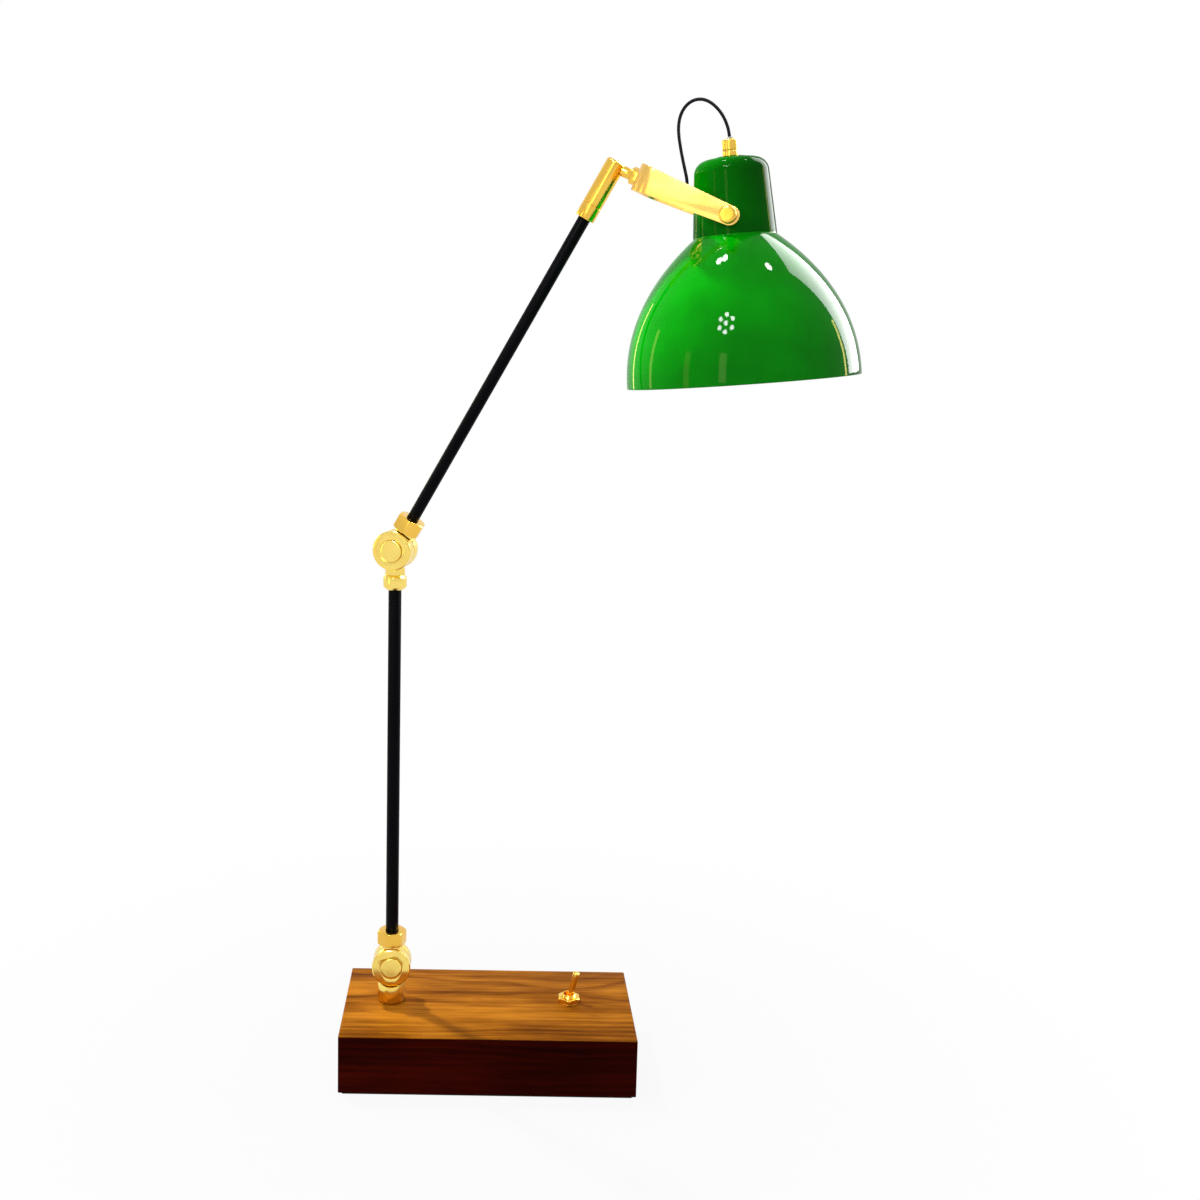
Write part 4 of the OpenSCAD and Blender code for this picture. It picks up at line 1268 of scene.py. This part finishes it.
@dataclass
class Yoke:
    """The U-shaped strap that holds the shade, with its thumb screws and spacers."""

    gap: float = 68
    strap: float = 3
    knob: float = 13.3
    knob_high: float = 10
    bolt: float = 6
    neck: float = 28.6
    reach: float = 8

    def strap_piece(self) -> None:
        """Soften the strap's edges and give it a satin finish."""
        tint, rough, depth = (0.94, 0.62, 0.17), (0.20, 0.30), 0.00000027
        satin = Brass("satin_brass_strap", FRAMES.stem, (0, 1, 0), tint, rough, depth).made()
        Fit("yoke", "brass_strap", satin).refined("yoke", 0.35, 3)

    def screws(self, fit: Fit) -> None:
        """Turn the two thumb screws: a round knob with a low crown on a plain shank."""
        head = self.gap / 2 + self.strap
        top = head + self.knob_high
        r, shank, start = self.knob / 2, self.bolt / 2, self.neck - self.reach
        outline = [
            (0, start), (shank, start), (shank, head), (r - 0.5, head), (r, head + 0.5), (r, top - 1.3),
            (r - 0.18, top - 0.75), (r - 0.65, top - 0.25), (r - 1.3, top), (r * 0.6, top), (r * 0.3, top),
            (0, top),
        ]
        ends = (("thumb_screw_front", False), ("thumb_screw_back", True))
        pair = [Bench.turned(name, outline, facing(FRAMES.shade, back), 96) for name, back in ends]
        Bench.clear()
        for obj in pair:
            obj.select_set(True)
        bpy.context.view_layer.objects.active = pair[0]
        bpy.ops.object.join()
        fit.fitted(Bench.softened(Bench.named("thumb_screws_piece"), 0.15), "thumb_screws")

    def build(self) -> None:
        """Build the yoke and what holds the shade in it."""
        self.strap_piece()
        fit = Fit("shade", "brass", Brass("brass_pivot", FRAMES.shade, (0, 1, 0)).made())
        self.screws(fit)
        fit.refined("pivot_spacers", 0.12)


@dataclass
class Shade:
    """The spun dome and its neck, with the lamp holder, the bulb and the flex's grip."""

    dome: float = 90
    dome_high: float = 112
    peak: float = 130
    round_by: float = 2.14
    flare_by: float = 1.2
    sheet: float = 1.0
    fit_gap: float = 0.15
    top: float = -13
    neck: float = 32
    neck_top: float = 28.6
    neck_high: float = 58
    shoulder: float = 10.8
    seat: float = 23
    seat_high: float = 1.5
    collar: float = 8
    nipple: float = 10.1
    holder: float = 39
    holder_long: float = 52
    holder_bore: float = 26.6
    skirt: float = 26
    ribs: int = 5
    rib_pitch: float = 3.4
    washer: float = 2.5
    bulb: float = 60
    bulb_high: float = 78
    grip: float = 12
    grip_high: float = 13
    bush: float = 8
    bush_deep: float = 7
    flex_hole: float = 3
    steps: int = 64

    @property
    def neck_end(self) -> float:
        """The height of the neck's top sheet."""
        return self.top + self.neck_high

    @property
    def holder_end(self) -> float:
        """The height of the lamp holder's top."""
        return self.neck_end - self.sheet - self.washer

    @property
    def mouth(self) -> float:
        """The height of the lamp holder's mouth."""
        return self.holder_end - self.holder_long

    def dome_at(self, height: float) -> float:
        """Give the dome's radius at a height above its rim."""
        return self.dome * (1 - (height / self.peak) ** self.round_by) ** (1 / self.flare_by)

    def neck_at(self, height: float) -> float:
        """Give the tapered neck's radius at a height from the pivot."""
        taper = self.neck - self.neck_top
        return self.neck - taper * (height - self.top) / (self.neck_high - self.shoulder)

    def dome_outline(self) -> Outline:
        """Give the dome's closed outline: outside, collar, lining and rolled rim."""
        sheet, top = self.sheet, self.top
        rim, half = top - self.dome_high, sheet / 2
        curve = []
        for k in range(self.steps + 1):
            up = self.dome_high * sin(pi / 2 * k / self.steps)
            curve.append(Vector((max(self.dome_at(up), self.neck), rim + up)))
        lining = []
        for k, point in enumerate(curve):
            along = (curve[min(k + 1, self.steps)] - curve[max(k - 1, 0)]).normalized()
            inner = point + sheet * Vector((-along.y, along.x))
            lining.append(Vector((inner.x, min(inner.y, top - sheet))))
        foot = self.neck_at(top) - sheet - self.fit_gap
        head = self.neck_at(top + self.collar) - sheet - self.fit_gap
        outline = [tuple(p) for p in curve if p.y > rim + half]
        outline += [(foot, top), (head, top + self.collar), (head - sheet, top + self.collar)]
        outline += [(foot - sheet, top - sheet)]
        outline += [tuple(p) for p in reversed(lining) if p.y > rim + half and p.x > foot - sheet]
        outline += reversed(arc((self.dome - half, rim + half), half, -18, 11))
        return [*outline, outline[0]]

    def dome_piece(self, green: Finish, white: Finish) -> None:
        """Turn the dome: green outside, white inside, with a soft rim and a collar in the neck."""
        obj = Bench.turned("shade_dome_piece", self.dome_outline(), FRAMES.shade, 224)
        obj.data.materials.append(green)
        obj.data.materials.append(white)
        back = FRAMES.shade.inverted()
        rim = self.top - self.dome_high
        for face in obj.data.polygons:
            centre, normal = back @ face.center / MM, back.to_3x3() @ face.normal
            out = Vector((centre.x, centre.y, 0))
            inward = normal.dot(out.normalized()) < -0.05 or (normal.z < -0.6 and centre.z > rim + 2)
            face.material_index = int(inward and centre.z < self.top)
        Fit("shade", "green_enamel").fitted(Bench.softened(obj, 0), "shade_dome")

    def neck_piece(self, fit: Fit) -> None:
        """Turn the neck: a foot step, a slow taper, a round shoulder and a small raised seat."""
        s, r, high = self.sheet, self.shoulder, self.neck_end
        foot, low = self.neck, self.top
        centre = (self.neck_top - r, high - r)
        seat, bore, end = self.seat / 2, self.nipple / 2, high + self.seat_high
        outline = [(foot - s, low + 0.05), (foot - 0.25, low + 0.05), (foot, low + 0.3)]
        outline += [(self.neck_at(z), z) for z in (low + 8, low + 20, low + 34)]
        outline += arc(centre, r, 6, 16)
        outline += [(seat + 0.5, high), (seat + 0.12, high + 0.12), (seat, high + 0.5), (seat, end - 0.4)]
        outline += [(seat - 0.4, end), (bore, end), (bore, high - s)]
        outline += reversed(arc(centre, r - s, 6, 16))
        outline += [(foot - s, low + 0.05)]
        fit.lathed("neck_cap", outline, FRAMES.shade, 192, 0, name="shade_neck_piece")

    def holder_piece(self, fit: Fit) -> None:
        """Turn the lamp holder with its thread ribs, and its ring with a grooved edge."""
        high, mouth, step = self.holder_end, self.mouth, self.mouth + self.skirt
        r, bore, hole = self.holder / 2, self.holder_bore / 2, self.nipple / 2
        ribs: Outline = []
        for k in range(self.ribs):
            z = mouth + 3 + k * self.rib_pitch
            ribs += [(r - 1.2, z), (r - 0.45, z + 0.8), (r - 0.45, z + 1.5), (r - 1.2, z + 2.3)]
        outline = [
            (bore, mouth), (r - 1.2, mouth), *ribs, (r - 1.2, step), (r, step), (r, high - 6),
            (r - 1.8, high - 2.2), (r - 6, high), (hole, high), (hole, high - 6), (bore, high - 6),
            (bore, mouth),
        ]
        fit.lathed("lamp_holder", outline, FRAMES.shade, 96, 0.25)
        inner, out, low = r - 1.15, r + 3, step - 5
        groove = out - 0.6
        ring = [
            (inner, low), (groove, low), (out, low + 0.6), (out, low + 1.9), (groove, low + 2.5),
            (out, low + 3.1), (out, low + 4.4), (groove, low + 5), (inner, low + 5), (inner, low),
        ]
        fit.lathed("holder_ring", ring, FRAMES.shade, 96, 0.2)

    def bulb_piece(self) -> None:
        """Turn the bulb: a round opal globe that draws in to its cap."""
        mouth, r, high = self.mouth, self.bulb / 2, self.bulb_high
        low = mouth - high + r
        angles = [radians(4.6 * k) for k in range(24)]
        globe = [(r * sin(a), low - r * cos(a)) for a in angles if cos(a) > -1 / 3]
        start, end = Vector((r * sqrt(1 - 1 / 9), low + r / 3)), Vector((16.6, low + (high - r) * 0.7))
        pull = 0.5 * (start + end) + Vector((-0.4, -0.2))
        neck = []
        for k in range(1, 9):
            t = k / 8
            neck.append(tuple((1 - t) ** 2 * start + 2 * t * (1 - t) * pull + t * t * end))
        outline = [*globe, tuple(start), *neck, (12.6, mouth), (0, mouth)]
        fit = Fit("shade", "bulb_opal", OpalGlass().made())
        fit.lathed("bulb_glass", outline, FRAMES.shade, 128, 0)
        dressed(Steel("bulb_aluminium", (0.75, 0.75, 0.74)).made(), "bulb_cap")

    def grip_pieces(self) -> None:
        """Turn the brass grip with its ribbed edge and the clear bush in it."""
        seat = self.neck_end + self.seat_high
        top = seat + self.grip_high
        r, bore, low = self.grip / 2, self.nipple / 2, top - self.bush_deep
        hole, out = self.flex_hole / 2, self.bush / 2
        passage, seated = hole + 0.4, out + 0.05
        outline = [
            (bore, seat), (r - 0.3, seat), (r, seat + 0.35), (r, seat + 4.0), (r - 0.35, seat + 4.35),
            (r - 0.35, seat + 4.9), (r, seat + 5.25), (r, top - 0.7), (r - 0.6, top), (seated, top),
            (seated, low), (passage, low), (passage, low - 1), (bore, low - 1), (bore, seat),
        ]
        brass = Fit("shade", "brass", Brass("brass_grip", FRAMES.shade).made())
        brass.lathed("cord_grip", outline, FRAMES.shade)
        bush = [
            (hole, low), (out, low), (out, top + 0.6), (out - 0.4, top + 1.6), (out - 1.4, top + 2),
            (hole, top + 2), (hole, low),
        ]
        clear = Moulded("clear_bush", (0.86, 0.86, 0.80), (0.22, 0.35), 300.0, 0.00001, 0.55).made()
        Fit("shade", "bush_clear", clear).lathed("grip_bush", bush, FRAMES.shade, 64, 0.2, 3)

    def build(self) -> None:
        """Build the shade from the rim up to the grip."""
        green = Enamel("green_enamel", (0.0, 0.42, 0.002), (0.0, 0.25, 0.001), 0.7).made()
        white = Enamel("white_enamel", (0.80, 0.80, 0.77), (0.76, 0.76, 0.72), 0.6, 0.3).made()
        # Painted shade: the neck takes a darker copy of the dome's green, for the shade on its upright
        # faces.
        deep = Enamel("neck_painted_shade_green", (0.0, 0.20, 0.001), (0.0, 0.11, 0.001), 0.35).made()
        self.dome_piece(green, white)
        self.neck_piece(Fit("shade", "green_enamel", deep))
        phenolic = Moulded("phenolic", (0.020, 0.017, 0.014), (0.22, 0.34), 300.0).made()
        self.holder_piece(Fit("shade", "phenolic", phenolic))
        self.bulb_piece()
        self.grip_pieces()
        dressed(phenolic, "switch_body")


@dataclass
class ToggleSwitch:
    """The toggle switch: washer, hexagon nut, threaded bushing and a tapered lever."""

    top: float = 51.5
    washer: float = 18
    washer_high: float = 1
    bush: float = 12
    rise: float = 7.5
    pitch: float = 0.5
    nut: float = 18
    nut_high: float = 4
    lever: float = 27
    lean: float = 13.8
    ball: float = 3.4
    tip: float = 3.0
    tip_round: float = 1.6

    def bushing_outline(self) -> Outline:
        """Give the bushing's outline, threaded above the nut and hollow for the lever."""
        r = self.bush / 2
        low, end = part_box("switch_bushing")[0].z / MM, self.top + self.rise
        thread: Outline = []
        z = self.top + self.nut_high + 1.2
        while z < end - 0.9:
            thread += [(r, z), (r - 0.22, z + 0.25), (r, z + self.pitch)]
            z += self.pitch
        inner = self.top + 1
        hollow = [(4.8, end), (3.45, inner + 1), (3.45, inner - 4.4), (0, inner - 4.4)]
        return [(0, low), (r, low), *thread, (r, end - 0.5), (r - 0.5, end), *hollow]

    def lever_outline(self) -> Outline:
        """Give the lever's outline: a ball, a slender taper and a rounded tip."""
        ball, long, soft = self.ball, self.lever, self.tip_round
        outline = [(ball * sin(a), -ball * cos(a)) for a in (radians(9 * k) for k in range(16))]
        outline += [(2.1, 3.0), (2.14, 5.0), (2.35, 10.0), (2.62, 16.0), (2.88, 22.0)]
        outline += arc((self.tip - soft, long - soft), soft, 11.25, 9)
        return [*outline, (0, long)]

    def build(self) -> None:
        """Build the switch on the block."""
        pivot = FRAMES.lever
        at = Matrix.Translation((pivot.translation.x, pivot.translation.y, 0))
        fit = Fit("base", "brass", Brass("brass_switch", pivot).made())
        low, high, bore, out = self.top, self.top + self.washer_high, self.bush / 2 + 0.05, self.washer / 2
        washer = [(bore, low), (out, low), (out, high - 0.3), (out - 0.3, high), (bore, high), (bore, low)]
        fit.lathed("switch_washer", washer, at, 72)
        # The nut's lip is deeper than the nut, so its bore is plain.
        shank, lip = self.bush / 2, self.nut_high + 2
        nut = HexCollar(self.bush + 0.1, 0, self.nut, high, self.nut_high, 0.9, shank, lip)
        nut.build("switch_nut", at, fit)
        fit.lathed("switch_bushing", self.bushing_outline(), at, 72, 0)
        lean = pivot @ Matrix.Rotation(radians(self.lean), 4, "Y")
        fit = Fit("lever", "brass", Brass("brass_lever", lean).made())
        fit.lathed("switch_lever", self.lever_outline(), lean, 64, 0)


def main() -> None:
    """Build the studio and the lamp in order."""
    logging.basicConfig(level=logging.INFO, format="%(name)s: %(message)s")
    Studio().build()
    Flex().build()
    WalnutBase().build()
    arm_brass = Brass("brass_arm", FRAMES.arm).made()
    black = Lacquer().made()
    Post().build(arm_brass, black)
    Arm().build(arm_brass, black)
    Yoke().build()
    Shade().build()
    ToggleSwitch().build()


if __name__ == "__main__":
    main()
